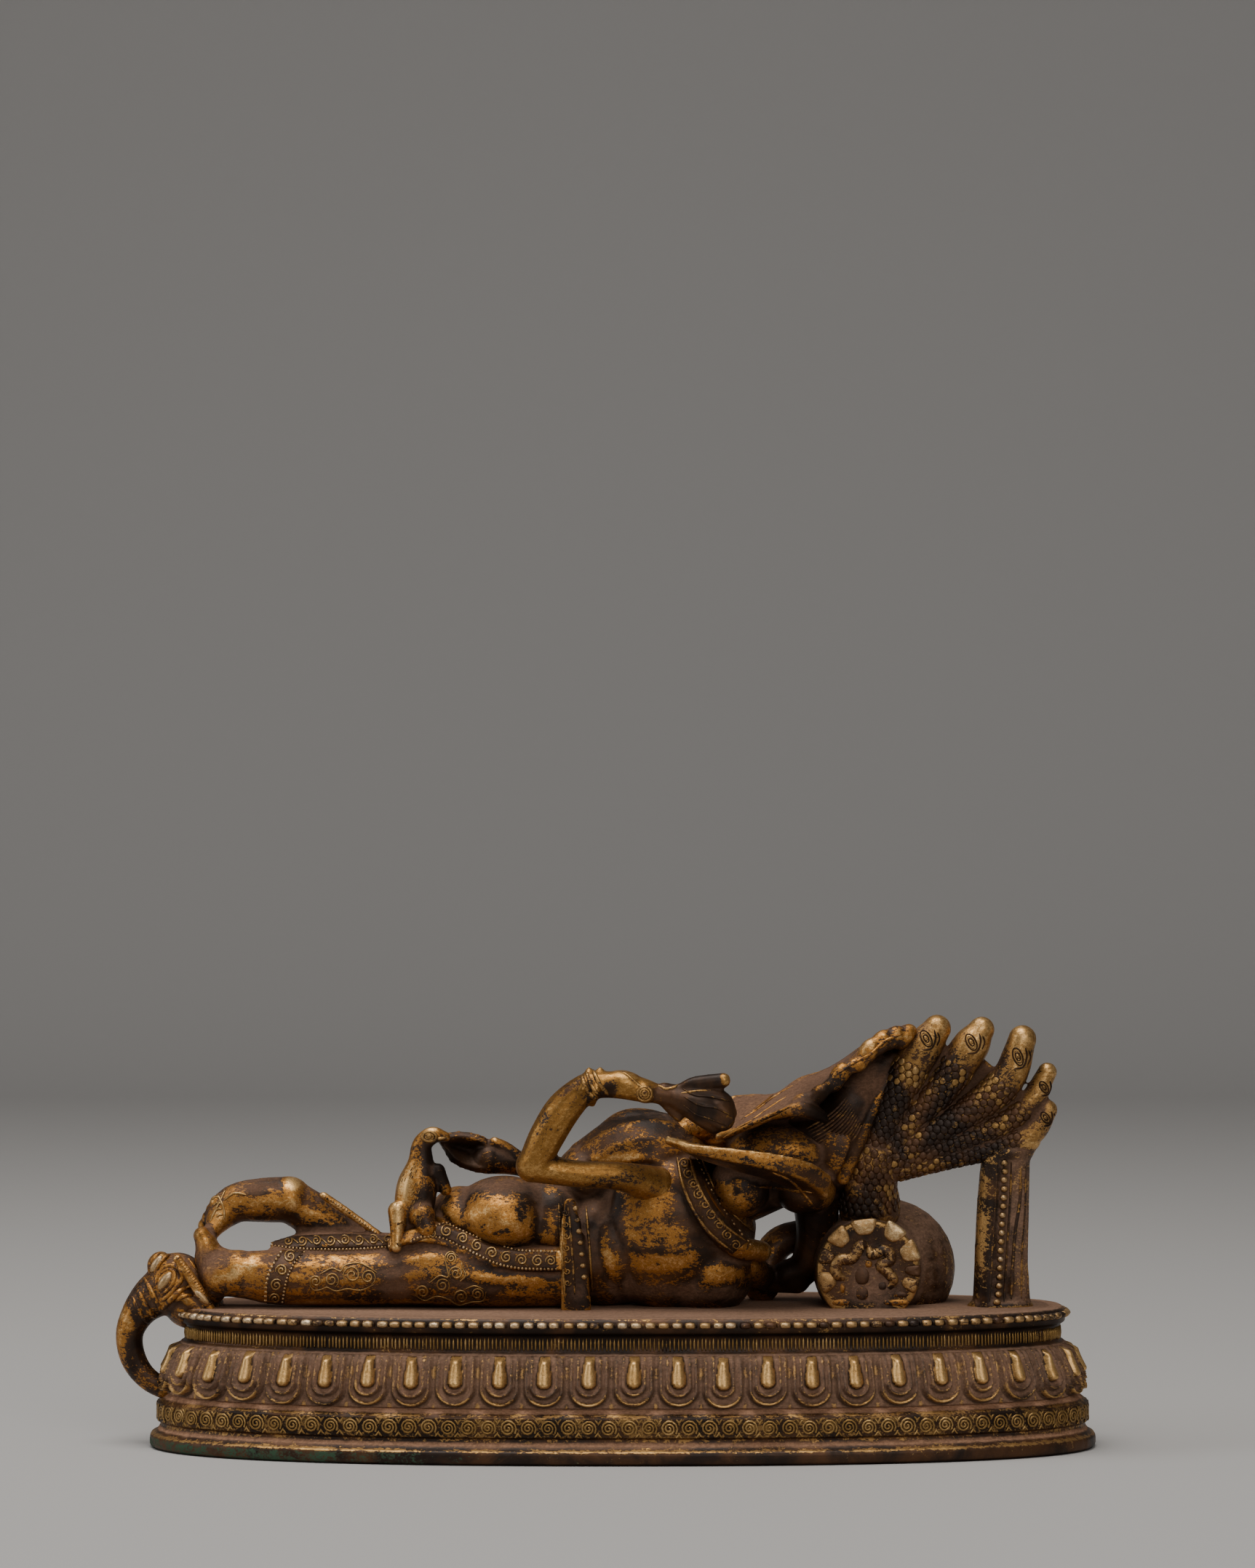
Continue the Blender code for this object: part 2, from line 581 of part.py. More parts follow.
def bolster():
    """A round cushion set across the base, its end face carved with petals round a vase."""
    face = fig_ball(50.6, 0, 7.4, 11.4, 8.6, 11.8)
    front = bolster_face()
    body = fig_ball(54.4, 8, 6.9, 14.8, 11.5, 14.4)
    petals = []
    for i in range(9):
        turn = math.radians(-20 + i * 27.5)
        petals.append(fig_ball(50.4 + 8.8 * math.cos(turn), -8.6, 7.6 + 8.8 * math.sin(turn), 2.0, 1.0, 1.5,
                               (0, -math.degrees(turn), 0)))
    vase = [
        limb(at((50.2, -8.6, 0.6, 2.4), (50.2, -8.6, 4.0, 1.2), (50.2, -8.6, 7.0, 0.9))),
        limb(at((50.0, -8.8, 8.6, 0.7), (52.6, -8.8, 12.2, 0.8), (56.0, -8.8, 9.6, 0.8),
                (53.2, -8.8, 6.4, 0.8), (56.6, -8.8, 3.4, 0.8))),
        limb(at((50.0, -8.8, 12.6, 0.7), (47.4, -8.8, 11.6, 0.8), (45.0, -8.8, 8.4, 0.8),
                (47.0, -8.8, 4.6, 0.8), (47.4, -8.8, 1.6, 0.8))),
    ]
    return [face, front, body] + petals + vase


def bolster_face():
    bm = bmesh.new()
    place = Matrix.Translation(fig(50.4, -4.0, 7.4)) @ Euler((math.radians(90), 0, 0)).to_matrix().to_4x4()
    bmesh.ops.create_cone(bm, cap_ends=True, segments=40, radius1=11.2 * SHARE, radius2=10.6 * SHARE,
                          depth=9.0 * SHARE, matrix=place)
    mesh = bpy.data.meshes.new("face")
    bm.to_mesh(mesh)
    bm.free()
    return mesh


def post():
    strap = block(fig(78.0, -2.5, 15.5), (11.0 * SHARE, 6.0 * SHARE, 33.0 * SHARE))
    edge = block(fig(75.8, -3.2, 15.5), (6.6 * SHARE, 6.0 * SHARE, 33.0 * SHARE))
    beads = [fig_ball(78.6 - 0.09 * i, -6.2, 1.6 + 1.78 * i, 1.0, 0.9, 0.8) for i in range(17)]
    foot = fig_ball(77.6, -2.5, 0.0, 6.8, 4.4, 1.8)
    return [strap, edge, foot] + beads


def mould(x, y, z):
    """A place at the foot end of the base, in mould shares from its end and above its top."""
    return (-BASE_LENGTH / 2 + x * MOULD, y * MOULD, TOP + z * MOULD)


def mould_ball(x, y, z, rx, ry, rz, turn=(0.0, 0.0, 0.0)):
    return ball(mould(x, y, z), (rx * MOULD, ry * MOULD, rz * MOULD), turn)


def mould_limb(*rows, flat=1.0):
    return limb([(*mould(x, y, z), r * MOULD) for x, y, z, r in rows], flat)


def spout():
    """The elephant's head at the foot end of the base, with its trunk curling back to the petals."""
    return [
        mould_ball(5.6, -1, 4.4, 6.2, 7.0, 6.4),
        mould_ball(9.0, -1, 0.0, 6.2, 7.2, 5.0),
        mould_ball(4.2, -6.2, 5.0, 2.4, 1.4, 2.4, (0, 35, 0)),
        mould_ball(1.4, 3.6, 8.0, 2.4, 2.0, 2.8, (0, 35, 0)),
        mould_ball(2.0, -3.6, 8.6, 2.2, 2.2, 2.6, (0, 35, 0)),
        mould_limb((4.0, -2, 3.6, 5.6), (0.6, -2, 1.6, 4.6), (-2.4, -2, -1.6, 3.5),
                   (-4.2, -2, -6.0, 2.9),
                   (-3.4, -2, -11.0, 2.7), (-0.6, -2, -15.0, 2.4), (3.4, -2, -17.2, 2.3),
                   (7.0, -2, -17.6, 2.3)),
        mould_limb((6.2, -7.4, 10.0, 1.0), (9.4, -8.4, 5.6, 1.2), (13.2, -8.2, -0.8, 1.2), flat=0.8),
        mould_limb((3.0, -6.6, 1.2, 0.9), (6.4, -7.6, 2.6, 1.1), (11.0, -7.8, -0.4, 1.4)),
    ]


def slab_cutter(name, shift, towards, home):
    """A block that lies wholly on one side of the sloping face between the sole and the ruff."""
    low = Vector(mould(SOLE_LOW[0], 0.0, SOLE_LOW[1]))
    high = Vector(mould(SOLE_HIGH[0], 0.0, SOLE_HIGH[1]))
    along = (high - low).normalized()
    out = Vector((along.z, 0.0, -along.x))
    length, width, reach = (side * MOULD for side in CUTTER_SIZE)
    bm = bmesh.new()
    turn = Matrix((along, Vector((0.0, 1.0, 0.0)), out)).transposed().to_4x4()
    centre = low + along * length * 0.45 + out * (shift + towards * reach / 2)
    size = Matrix.Diagonal((length, width, reach, 1.0))
    bmesh.ops.create_cube(bm, size=1.0, matrix=Matrix.Translation(centre) @ turn @ size)
    item = mesh_object(name, finish(bm, name), home)
    item.hide_render = True
    item.display_type = "WIRE"
    return item


def floor_cutter(home):
    """A block that trims the figure level, just clear of the base's top."""
    bm = bmesh.new()
    size = Matrix.Diagonal((2 * BASE_LENGTH, 2 * BASE_DEPTH, 2 * BASE_HEIGHT, 1.0))
    place = Matrix.Translation((0.0, 0.0, TOP + GAP - BASE_HEIGHT))
    bmesh.ops.create_cube(bm, size=1.0, matrix=place @ size)
    item = mesh_object("level_cutter", finish(bm, "level_cutter"), home)
    item.hide_render = True
    item.display_type = "WIRE"
    return item


def boolean(item, other, operation):
    step = item.modifiers.new(operation.title(), "BOOLEAN")
    step.operation = operation
    step.solver = "EXACT"
    step.object = other


def gilt(name, colour, roughness, metallic):
    made = bpy.data.materials.new(name)
    made.use_nodes = True
    shader = made.node_tree.nodes["Principled BSDF"]
    shader.inputs["Base Color"].default_value = (*colour, 1.0)
    shader.inputs["Roughness"].default_value = roughness
    shader.inputs["Metallic"].default_value = metallic
    return made


def baked(item, name, home, material):
    """Replaces an object by its evaluated mesh under the node's own name."""
    mesh = evaluated_mesh(item)
    drop(item)
    bm = bmesh.new()
    bm.from_mesh(mesh)
    bmesh.ops.triangulate(bm, faces=bm.faces)
    bm.to_mesh(mesh)
    bm.free()
    mesh.name = name
    mesh.materials.clear()
    mesh.materials.append(material)
    mesh.shade_smooth()
    mesh.set_sharp_from_angle(angle=math.radians(40))
    return mesh_object(name, mesh, home)


def make_base(home, cutters):
    skin = decimated(fused(spout(), "spout", SPOUT_VOXEL, 3, cutters), SPOUT_TRIANGLES, cutters)
    head_item = mesh_object("spout_form", skin, cutters)
    boolean(head_item, slab_cutter("sole_cutter", -GAP / 2, 1, cutters), "DIFFERENCE")
    trimmed = mesh_object("spout_cutter", evaluated_mesh(head_item), cutters)
    drop(head_item)
    body = mesh_object("base_form", finish(base_body(), "base"), cutters)
    boolean(body, trimmed, "UNION")
    result = baked(body, "lotus_base", home, gilt("dusty_gilt", (0.20, 0.13, 0.08), 0.55, 0.6))
    trimmed.hide_render = True
    trimmed.display_type = "WIRE"
    return result


def make_figure(home, cutters):
    forms = []
    parts = (
        near_leg, far_leg, garment, mouse, torso, belt, near_arm, far_arm,
        head, ears, crown, hair, serpents, bolster, post,
    )
    for part in parts:
        forms.extend(part())
    skin = decimated(fused(forms, "figure", FIGURE_VOXEL, 2, cutters), FIGURE_TRIANGLES, cutters)
    item = mesh_object("figure_form", skin, cutters)
    boolean(item, floor_cutter(cutters), "DIFFERENCE")
    boolean(item, slab_cutter("ruff_cutter", GAP / 2, -1, cutters), "DIFFERENCE")
    return baked(item, "reclining_figure", home, gilt("worn_gilt", (0.42, 0.27, 0.11), 0.4, 0.8))


clear_scene()
parts_home = collection("reclining_ganesha")
cutters_home = collection("cutters")
make_base(parts_home, cutters_home)
make_figure(parts_home, cutters_home)
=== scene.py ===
"""Studio scene of a reclining elephant-headed figure on its lotus base, cast and gilded in copper alloy.

Everything is in metres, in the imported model's frame: X along the figure, feet at -X, the viewer's side at -Y.
The solids give the sizes. The skins here are remade finer from the same forms, and the chased work is laid on them.
"""

import math

import bmesh
import bpy
import numpy as np
from mathutils import Euler, Matrix, Vector


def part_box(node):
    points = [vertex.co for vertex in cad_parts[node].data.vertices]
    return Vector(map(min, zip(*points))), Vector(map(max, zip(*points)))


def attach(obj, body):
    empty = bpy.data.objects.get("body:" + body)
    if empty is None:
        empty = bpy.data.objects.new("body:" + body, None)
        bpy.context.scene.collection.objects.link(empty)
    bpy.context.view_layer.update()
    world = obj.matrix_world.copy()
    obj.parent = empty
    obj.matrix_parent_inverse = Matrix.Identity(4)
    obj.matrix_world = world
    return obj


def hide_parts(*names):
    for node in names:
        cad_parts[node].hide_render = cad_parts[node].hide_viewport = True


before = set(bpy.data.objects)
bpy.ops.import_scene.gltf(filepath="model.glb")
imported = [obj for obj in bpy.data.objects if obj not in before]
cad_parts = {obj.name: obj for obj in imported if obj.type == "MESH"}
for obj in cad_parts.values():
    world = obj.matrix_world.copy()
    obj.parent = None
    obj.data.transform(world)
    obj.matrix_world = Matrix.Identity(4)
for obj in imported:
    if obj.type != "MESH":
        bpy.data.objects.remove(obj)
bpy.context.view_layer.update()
base_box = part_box("lotus_base")
figure_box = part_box("reclining_figure")

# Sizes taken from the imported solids
MM = 0.001
HALF_LENGTH = base_box[1][0]
HALF_DEPTH = base_box[1][1]
GAP = 0.0003
TOP = figure_box[0][2] - GAP
FIGURE_LENGTH = 0.178
SHARE = FIGURE_LENGTH / 178

# Proportions of the base
PLAN_POWER = 2.4
PETALS = 50
PETAL_START = 0.25
BEADS = 164
RIM_INSET = 6.2
SCROLLS = 112
NECK_RIBS = 560

# Voxels of the skins, smaller where the photograph shows smaller forms
FINE = 0.00036
HAIR = 0.0004
HOOD = 0.00044
MIDDLE = 0.00046
BROAD = 0.0005
SMOOTHING = 6
LIMB_STEPS = 5

# Scales along and round a serpent's neck, in shares, and the lines' thickness against the measured one
SCALE_PITCH = 1.25
SCALE_SPREAD = 1.6
LINE_SHARE = 1.1

# Material slot and solid that a piece stands for
BASE = ("dusty_gilt", "lotus_base")
FIGURE = ("worn_gilt", "reclining_figure")

pieces_home = bpy.data.collections.new("ganesha_pieces")
bpy.context.scene.collection.children.link(pieces_home)


def evaluated_mesh(source):
    """The mesh that an object has after its modifiers or its curve's bevel."""
    graph = bpy.context.evaluated_depsgraph_get()
    graph.update()
    return bpy.data.meshes.new_from_object(source.evaluated_get(graph))


def drop(item):
    bpy.data.objects.remove(item)


def held_mesh(bm, name):
    """A mesh of what a bmesh holds. The bmesh is freed."""
    mesh = bpy.data.meshes.new(name)
    bm.to_mesh(mesh)
    bm.free()
    return mesh


def bridge(bm, loops, closed=False):
    """Faces between neighbouring rows of vertices, right round when closed."""
    for low, high in zip(loops, loops[1:]):
        for i in range(len(low) if closed else len(low) - 1):
            j = (i + 1) % len(low)
            bm.faces.new((low[i], low[j], high[j], high[i]))


# Camera, floor and light

PHOTO_WIDTH = 1725
PHOTO_HEIGHT = 2156
EYE = Vector((0.00098, -1.08, 0.1364))
LENS = 120.0
SENSOR = 36.0


def set_camera():
    data = bpy.data.cameras.new("photo_camera")
    data.lens = LENS
    data.sensor_width = SENSOR
    data.clip_start = 0.05
    item = bpy.data.objects.new("photo_camera", data)
    item.location = EYE
    item.rotation_euler = (math.pi / 2, 0.0, 0.0)
    bpy.context.scene.collection.objects.link(item)
    bpy.context.scene.camera = item


def sight(across, down):
    """The direction in which the camera sees a place in the photograph's frame."""
    step = SENSOR / LENS / PHOTO_HEIGHT
    return Vector(((across - PHOTO_WIDTH / 2) * step, 1.0, (PHOTO_HEIGHT / 2 - down) * step)).normalized()


def soft_light(name, place, aim, size, watts, colour):
    data = bpy.data.lights.new(name, "AREA")
    data.shape = "RECTANGLE"
    data.size, data.size_y = size
    data.energy = watts
    data.color = colour
    item = bpy.data.objects.new(name, data)
    item.location = place
    item.rotation_euler = (Vector(aim) - Vector(place)).to_track_quat("-Z", "Y").to_euler()
    bpy.context.scene.collection.objects.link(item)


def studio():
    """A pale floor that turns up into a pale backdrop, and soft boxes above, in front and at the left."""
    bm = bmesh.new()
    turns = [(-2.2, 0.0), (1.2, 0.0)]
    turns += [(1.2 + 0.5 * math.sin(a), 0.5 - 0.5 * math.cos(a)) for a in np.linspace(0.1, math.pi / 2, 14)]
    turns += [(1.7, 2.6)]
    rows = [[bm.verts.new((x, y, z)) for x in (-3.0, 3.0)] for y, z in turns]
    bridge(bm, rows)
    mesh = held_mesh(bm, "studio_floor")
    mesh.shade_smooth()
    floor = bpy.data.objects.new("studio_floor", mesh)
    pieces_home.objects.link(floor)
    paper = bpy.data.materials.new("pale_paper")
    paper.use_nodes = True
    shader = paper.node_tree.nodes["Principled BSDF"]
    shader.inputs["Base Color"].default_value = (0.46, 0.45, 0.44, 1.0)
    shader.inputs["Roughness"].default_value = 0.85
    shader.inputs["Specular IOR Level"].default_value = 0.2
    mesh.materials.append(paper)
    world = bpy.data.worlds.new("studio_air")
    world.use_nodes = True
    world.node_tree.nodes["Background"].inputs["Color"].default_value = (0.86, 0.85, 0.85, 1.0)
    world.node_tree.nodes["Background"].inputs["Strength"].default_value = 0.15
    bpy.context.scene.world = world
    soft_light("top_box", (-0.15, -0.15, 1.1), (0.0, 0.0, 0.03), (0.9, 0.6), 10.5, (1.0, 0.97, 0.93))
    soft_light("front_box", (0.35, -1.5, 0.75), (0.0, 0.0, 0.04), (0.9, 0.6), 6.6, (1.0, 0.96, 0.92))
    soft_light("left_box", (-1.2, -0.35, 0.5), (-0.02, 0.0, 0.05), (0.5, 0.7), 3.5, (0.96, 0.98, 1.0))


# Finishes: dark patina, worn gilding, dry dust, a little verdigris and painted shade, steered by each piece's own
# attributes


class Wiring:
    """Short words for adding and joining a material's nodes."""

    def __init__(self, tree):
        self.tree = tree

    def node(self, kind, **values):
        made = self.tree.nodes.new(kind)
        for name, value in values.items():
            setattr(made, name, value)
        return made

    def feed(self, socket, value):
        if hasattr(value, "is_output"):
            self.tree.links.new(value, socket)
        elif value is not None:
            socket.default_value = value

    def reading(self, name):
        made = self.node("ShaderNodeAttribute", attribute_name=name)
        return made.outputs["Fac"]

    def maths(self, operation, a, b=None, clamp=False):
        made = self.node("ShaderNodeMath", operation=operation, use_clamp=clamp)
        self.feed(made.inputs[0], a)
        self.feed(made.inputs[1], b)
        return made.outputs[0]

    def plus(self, a, b, clamp=False):
        return self.maths("ADD", a, b, clamp)

    def times(self, a, b, clamp=False):
        return self.maths("MULTIPLY", a, b, clamp)

    def sway(self, value, weight):
        """A noise value's distance from its middle, times a weight."""
        return self.times(self.maths("SUBTRACT", value, 0.5), weight)

    def rest(self, value, weight=1.0):
        """What a weighted value leaves of one."""
        return self.maths("SUBTRACT", 1.0, self.times(value, weight))

    def blend(self, share, low, high):
        made = self.node("ShaderNodeMix", data_type="RGBA")
        self.feed(made.inputs["Factor"], share)
        self.feed(made.inputs[6], low)
        self.feed(made.inputs[7], high)
        return made.outputs[2]

    def span(self, value, low, high, to_low=0.0, to_high=1.0):
        made = self.node("ShaderNodeMapRange", interpolation_type="SMOOTHSTEP")
        self.feed(made.inputs["Value"], value)
        for label, limit in zip(("From Min", "From Max", "To Min", "To Max"), (low, high, to_low, to_high)):
            made.inputs[label].default_value = limit
        return made.outputs["Result"]

    def grain(self, scale, detail=4.0, stretch=(1.0, 1.0, 1.0), roughness=0.6, warp=0.0):
        place = self.node("ShaderNodeTexCoord")
        turn = self.node("ShaderNodeMapping")
        turn.inputs["Scale"].default_value = stretch
        self.feed(turn.inputs["Vector"], place.outputs["Object"])
        made = self.node("ShaderNodeTexNoise")
        self.feed(made.inputs["Vector"], turn.outputs["Vector"])
        for label, value in zip(("Scale", "Detail", "Roughness", "Distortion"), (scale, detail, roughness, warp)):
            made.inputs[label].default_value = value
        return made.outputs["Fac"]


VERDIGRIS = (0.055, 0.105, 0.062, 1.0)
# Near-black that the shade attribute blends towards: painted shade, with some grime, in hollows and undersides
SHADE_AND_GRIME = (0.01, 0.006, 0.004, 1.0)


def gilt_patina(name, gold=(0.5, 0.222, 0.043), bright=(0.9, 0.57, 0.23), dark=(0.022, 0.011, 0.006),
                brown=(0.11, 0.046, 0.016), dust=(0.19, 0.104, 0.064), pits=0.12, flake=2.1):
    """Gilding shows where the attribute gilt is high, and dust, verdigris and painted shade where dust, green and
    shade are.
    """
    made = bpy.data.materials.new(name)
    made.use_nodes = True
    wire = Wiring(made.node_tree)
    shader = made.node_tree.nodes["Principled BSDF"]
    patches = wire.grain(470.0, 7.0, (0.62, 1.0, 1.0), 0.76, 0.6)
    specks = wire.grain(2100.0, 4.0, (0.7, 1.0, 1.0), 0.7, 0.4)
    grit = wire.grain(5200.0, 2.0)
    broad = wire.grain(95.0, warp=0.7)

    # How far the gilding shows, and where it is rubbed bright
    flakes = wire.sway(patches, flake)
    worn = wire.plus(wire.reading("gilt"), flakes)
    worn = wire.plus(worn, wire.sway(specks, flake * 0.9))
    worn = wire.plus(worn, wire.sway(broad, 0.9))
    rubbed = wire.span(worn, 0.74, 1.4)
    holes = wire.span(specks, 0.3, 0.36, 1.0, 0.0)
    shows = wire.times(wire.span(worn, 0.44, 0.6), wire.rest(holes, 0.85))

    # Where the dust lies
    settled = wire.plus(wire.reading("dust"), wire.times(flakes, -0.45))
    settled = wire.plus(settled, wire.sway(grit, 0.25))
    covered = wire.times(wire.span(settled, 0.28, 0.8), wire.rest(rubbed, 0.9))

    # Colours, from the patina up
    ground = wire.blend(wire.span(broad, 0.38, 0.66), (*dark, 1.0), (*brown, 1.0))
    gold_tone = wire.blend(rubbed, (*gold, 1.0), (*bright, 1.0))
    gold_tone = wire.blend(wire.span(grit, 0.3, 0.75, 0.45, 0.0), gold_tone, (*brown, 1.0))
    tone = wire.blend(shows, ground, gold_tone)
    low_dust, high_dust = ((*(c * share for c in dust), 1.0) for share in (0.66, 1.18))
    dusty = wire.blend(wire.span(specks, 0.3, 0.72), low_dust, high_dust)
    tone = wire.blend(wire.times(covered, 0.93), tone, dusty)
    grown = wire.plus(wire.reading("green"), wire.sway(specks, 1.3))
    grown = wire.span(wire.plus(grown, wire.sway(patches, 1.4)), 0.42, 0.72)
    tone = wire.blend(grown, tone, VERDIGRIS)
    # Painted shade: the shade attribute darkens the colour towards near-black
    tone = wire.blend(wire.times(wire.reading("shade"), 0.92, clamp=True), tone, SHADE_AND_GRIME)
    wire.feed(shader.inputs["Base Color"], tone)

    # Shine and grain
    matte = wire.maths("MAXIMUM", covered, grown)
    wire.feed(shader.inputs["Metallic"], wire.times(wire.rest(matte), wire.plus(wire.times(shows, 0.4), 0.45)))
    rough = wire.plus(wire.span(grit, 0.2, 0.8, 0.36, 0.52), wire.times(rubbed, -0.06))
    wire.feed(shader.inputs["Roughness"], wire.plus(rough, wire.times(matte, 0.42), clamp=True))
    # Painted shade also dulls the specular, as dust and verdigris do
    dull = wire.maths("MAXIMUM", matte, wire.times(wire.reading("shade"), 1.2), clamp=True)
    wire.feed(shader.inputs["Specular IOR Level"], wire.maths("SUBTRACT", 0.5, wire.times(dull, 0.4)))
    height = wire.plus(wire.times(specks, 0.6), wire.times(grit, 0.35))
    bump = wire.node("ShaderNodeBump")
    bump.inputs["Strength"].default_value = 0.55
    bump.inputs["Distance"].default_value = pits * MM
    wire.feed(bump.inputs["Height"], wire.plus(height, wire.times(shows, 0.25)))
    wire.feed(shader.inputs["Normal"], bump.outputs["Normal"])
    return made


FINISH_TONES = {
    "dusty_petals": {"gold": (0.62, 0.36, 0.12), "dust": (0.29, 0.172, 0.112)},
    "chased_band": {"gold": (0.34, 0.205, 0.062), "bright": (0.72, 0.47, 0.19), "flake": 0.9},
    "verdigris_foot": {"gold": (0.5, 0.29, 0.1), "dust": (0.45, 0.25, 0.15)},
    "roller_gilt": {"gold": (0.56, 0.35, 0.15), "bright": (0.9, 0.72, 0.48), "flake": 0.9},
    "rosette_gilt": {"gold": (0.52, 0.31, 0.12), "bright": (0.92, 0.7, 0.4), "flake": 1.5},
    "worn_gilt": {},
    "dull_gilt": {"gold": (0.44, 0.24, 0.07), "dust": (0.17, 0.094, 0.058)},
    "scale_gilt": {"gold": (0.42, 0.245, 0.08), "bright": (0.84, 0.6, 0.3), "flake": 0.7},
    "smooth_gilt": {"gold": (0.37, 0.178, 0.038), "bright": (0.66, 0.38, 0.12), "pits": 0.05},
}
FINISHES = {}
LAYERS = ("gilt", "dust", "green", "shade")


def finish(name):
    """The named finish, made when it is first asked for."""
    if name not in FINISHES:
        FINISHES[name] = gilt_patina(name, **FINISH_TONES[name])
    return FINISHES[name]


def smoothstep(low, high, value):
    t = np.clip((value - low) / (high - low), 0.0, 1.0)
    return t * t * (3.0 - 2.0 * t)


def paint(mesh, **layers):
    """Writes one number for each vertex under each attribute name."""
    for name in LAYERS:
        values = np.broadcast_to(np.asarray(layers.get(name, 0.0), dtype=np.float32), (len(mesh.vertices),))
        layer = mesh.attributes.get(name) or mesh.attributes.new(name, "FLOAT", "POINT")
        layer.data.foreach_set("value", np.clip(values, -1.0, 2.0).astype(np.float32))


def read_vectors(mesh, key):
    flat = np.empty(len(mesh.vertices) * 3)
    mesh.vertices.foreach_get(key, flat)
    return flat.reshape(-1, 3)


def points_of(mesh):
    return read_vectors(mesh, "co")


def normals_of(mesh):
    return read_vectors(mesh, "normal")


def move_points(mesh, places):
    mesh.vertices.foreach_set("co", np.ascontiguousarray(places).ravel())
    mesh.update()


def piece(name, mesh, finish_name, home=FIGURE):
    """A finished piece: it rides on the body, stands for its solid and takes the named finish."""
    slot, node = home
    mesh.name = name
    mesh.materials.clear()
    mesh.materials.append(finish(finish_name))
    mesh.shade_smooth()
    item = bpy.data.objects.new(name, mesh)
    pieces_home.objects.link(item)
    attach(item, "root")
    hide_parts(node)
    return item


def spaced(count):
    """Fractions of the way round, evenly spaced."""
    return np.arange(count) / count


def bell(value, middle, width):
    """One at the middle, falling away smoothly on both sides."""
    return np.exp(-((value - middle) / width) ** 2)


def way_along(path):
    """How far along a path each of its points is."""
    return np.concatenate([[0.0], np.cumsum(np.linalg.norm(np.diff(path, axis=0), axis=1))])


# The lotus base: rings that follow the oval plan


def plan(fractions):
    """Places and outward normals at fractions of the way round the foot rim, from the +X end towards +Y."""
    turn = np.linspace(0.0, 2.0 * math.pi, 4001)
    power = 2.0 / PLAN_POWER
    x = HALF_LENGTH * np.sign(np.cos(turn)) * np.abs(np.cos(turn)) ** power
    y = HALF_DEPTH * np.sign(np.sin(turn)) * np.abs(np.sin(turn)) ** power
    way = np.concatenate([[0.0], np.cumsum(np.hypot(np.diff(x), np.diff(y)))])
    way /= way[-1]

    def spot(where):
        where = np.mod(where, 1.0)
        return np.stack([np.interp(where, way, x), np.interp(where, way, y)])

    ahead = spot(fractions + 0.004) - spot(fractions - 0.004)
    return spot(fractions), np.stack([ahead[1], -ahead[0]]) / np.hypot(*ahead)


def closed_ring(name, fractions, heights, insets):
    """A closed band from rows of heights and insets (rows by columns, metres), joined end to end both ways."""
    rows, columns = insets.shape
    place, out = plan(fractions)
    x = place[0][None, :] - out[0][None, :] * insets
    y = place[1][None, :] - out[1][None, :] * insets
    z = np.broadcast_to(heights, insets.shape)
    places = np.stack([x, y, z], axis=-1).reshape(-1, 3)
    row, column = np.meshgrid(np.arange(rows), np.arange(columns), indexing="ij")
    ahead, above = (column + 1) % columns, (row + 1) % rows
    corners = np.stack([row * columns + column, row * columns + ahead, above * columns + ahead,
                        above * columns + column], axis=-1).reshape(-1, 4)
    mesh = bpy.data.meshes.new(name)
    mesh.vertices.add(len(places))
    mesh.vertices.foreach_set("co", places.ravel())
    mesh.loops.add(corners.size)
    mesh.loops.foreach_set("vertex_index", corners.ravel().astype(np.int32))
    mesh.polygons.add(len(corners))
    mesh.polygons.foreach_set("loop_start", np.arange(0, corners.size, 4, dtype=np.int32))
    mesh.update(calc_edges=True)
    mesh.validate()
    return mesh


def wander(fractions, waves, seed):
    """A smooth uneven line round the base, from a few waves that close on themselves."""
    own = np.random.default_rng(seed)
    total = np.zeros_like(fractions)
    for count in waves:
        total += own.uniform(0.4, 1.0) * np.sin(2 * math.pi * (count * fractions + own.uniform()))
    return total / len(waves)


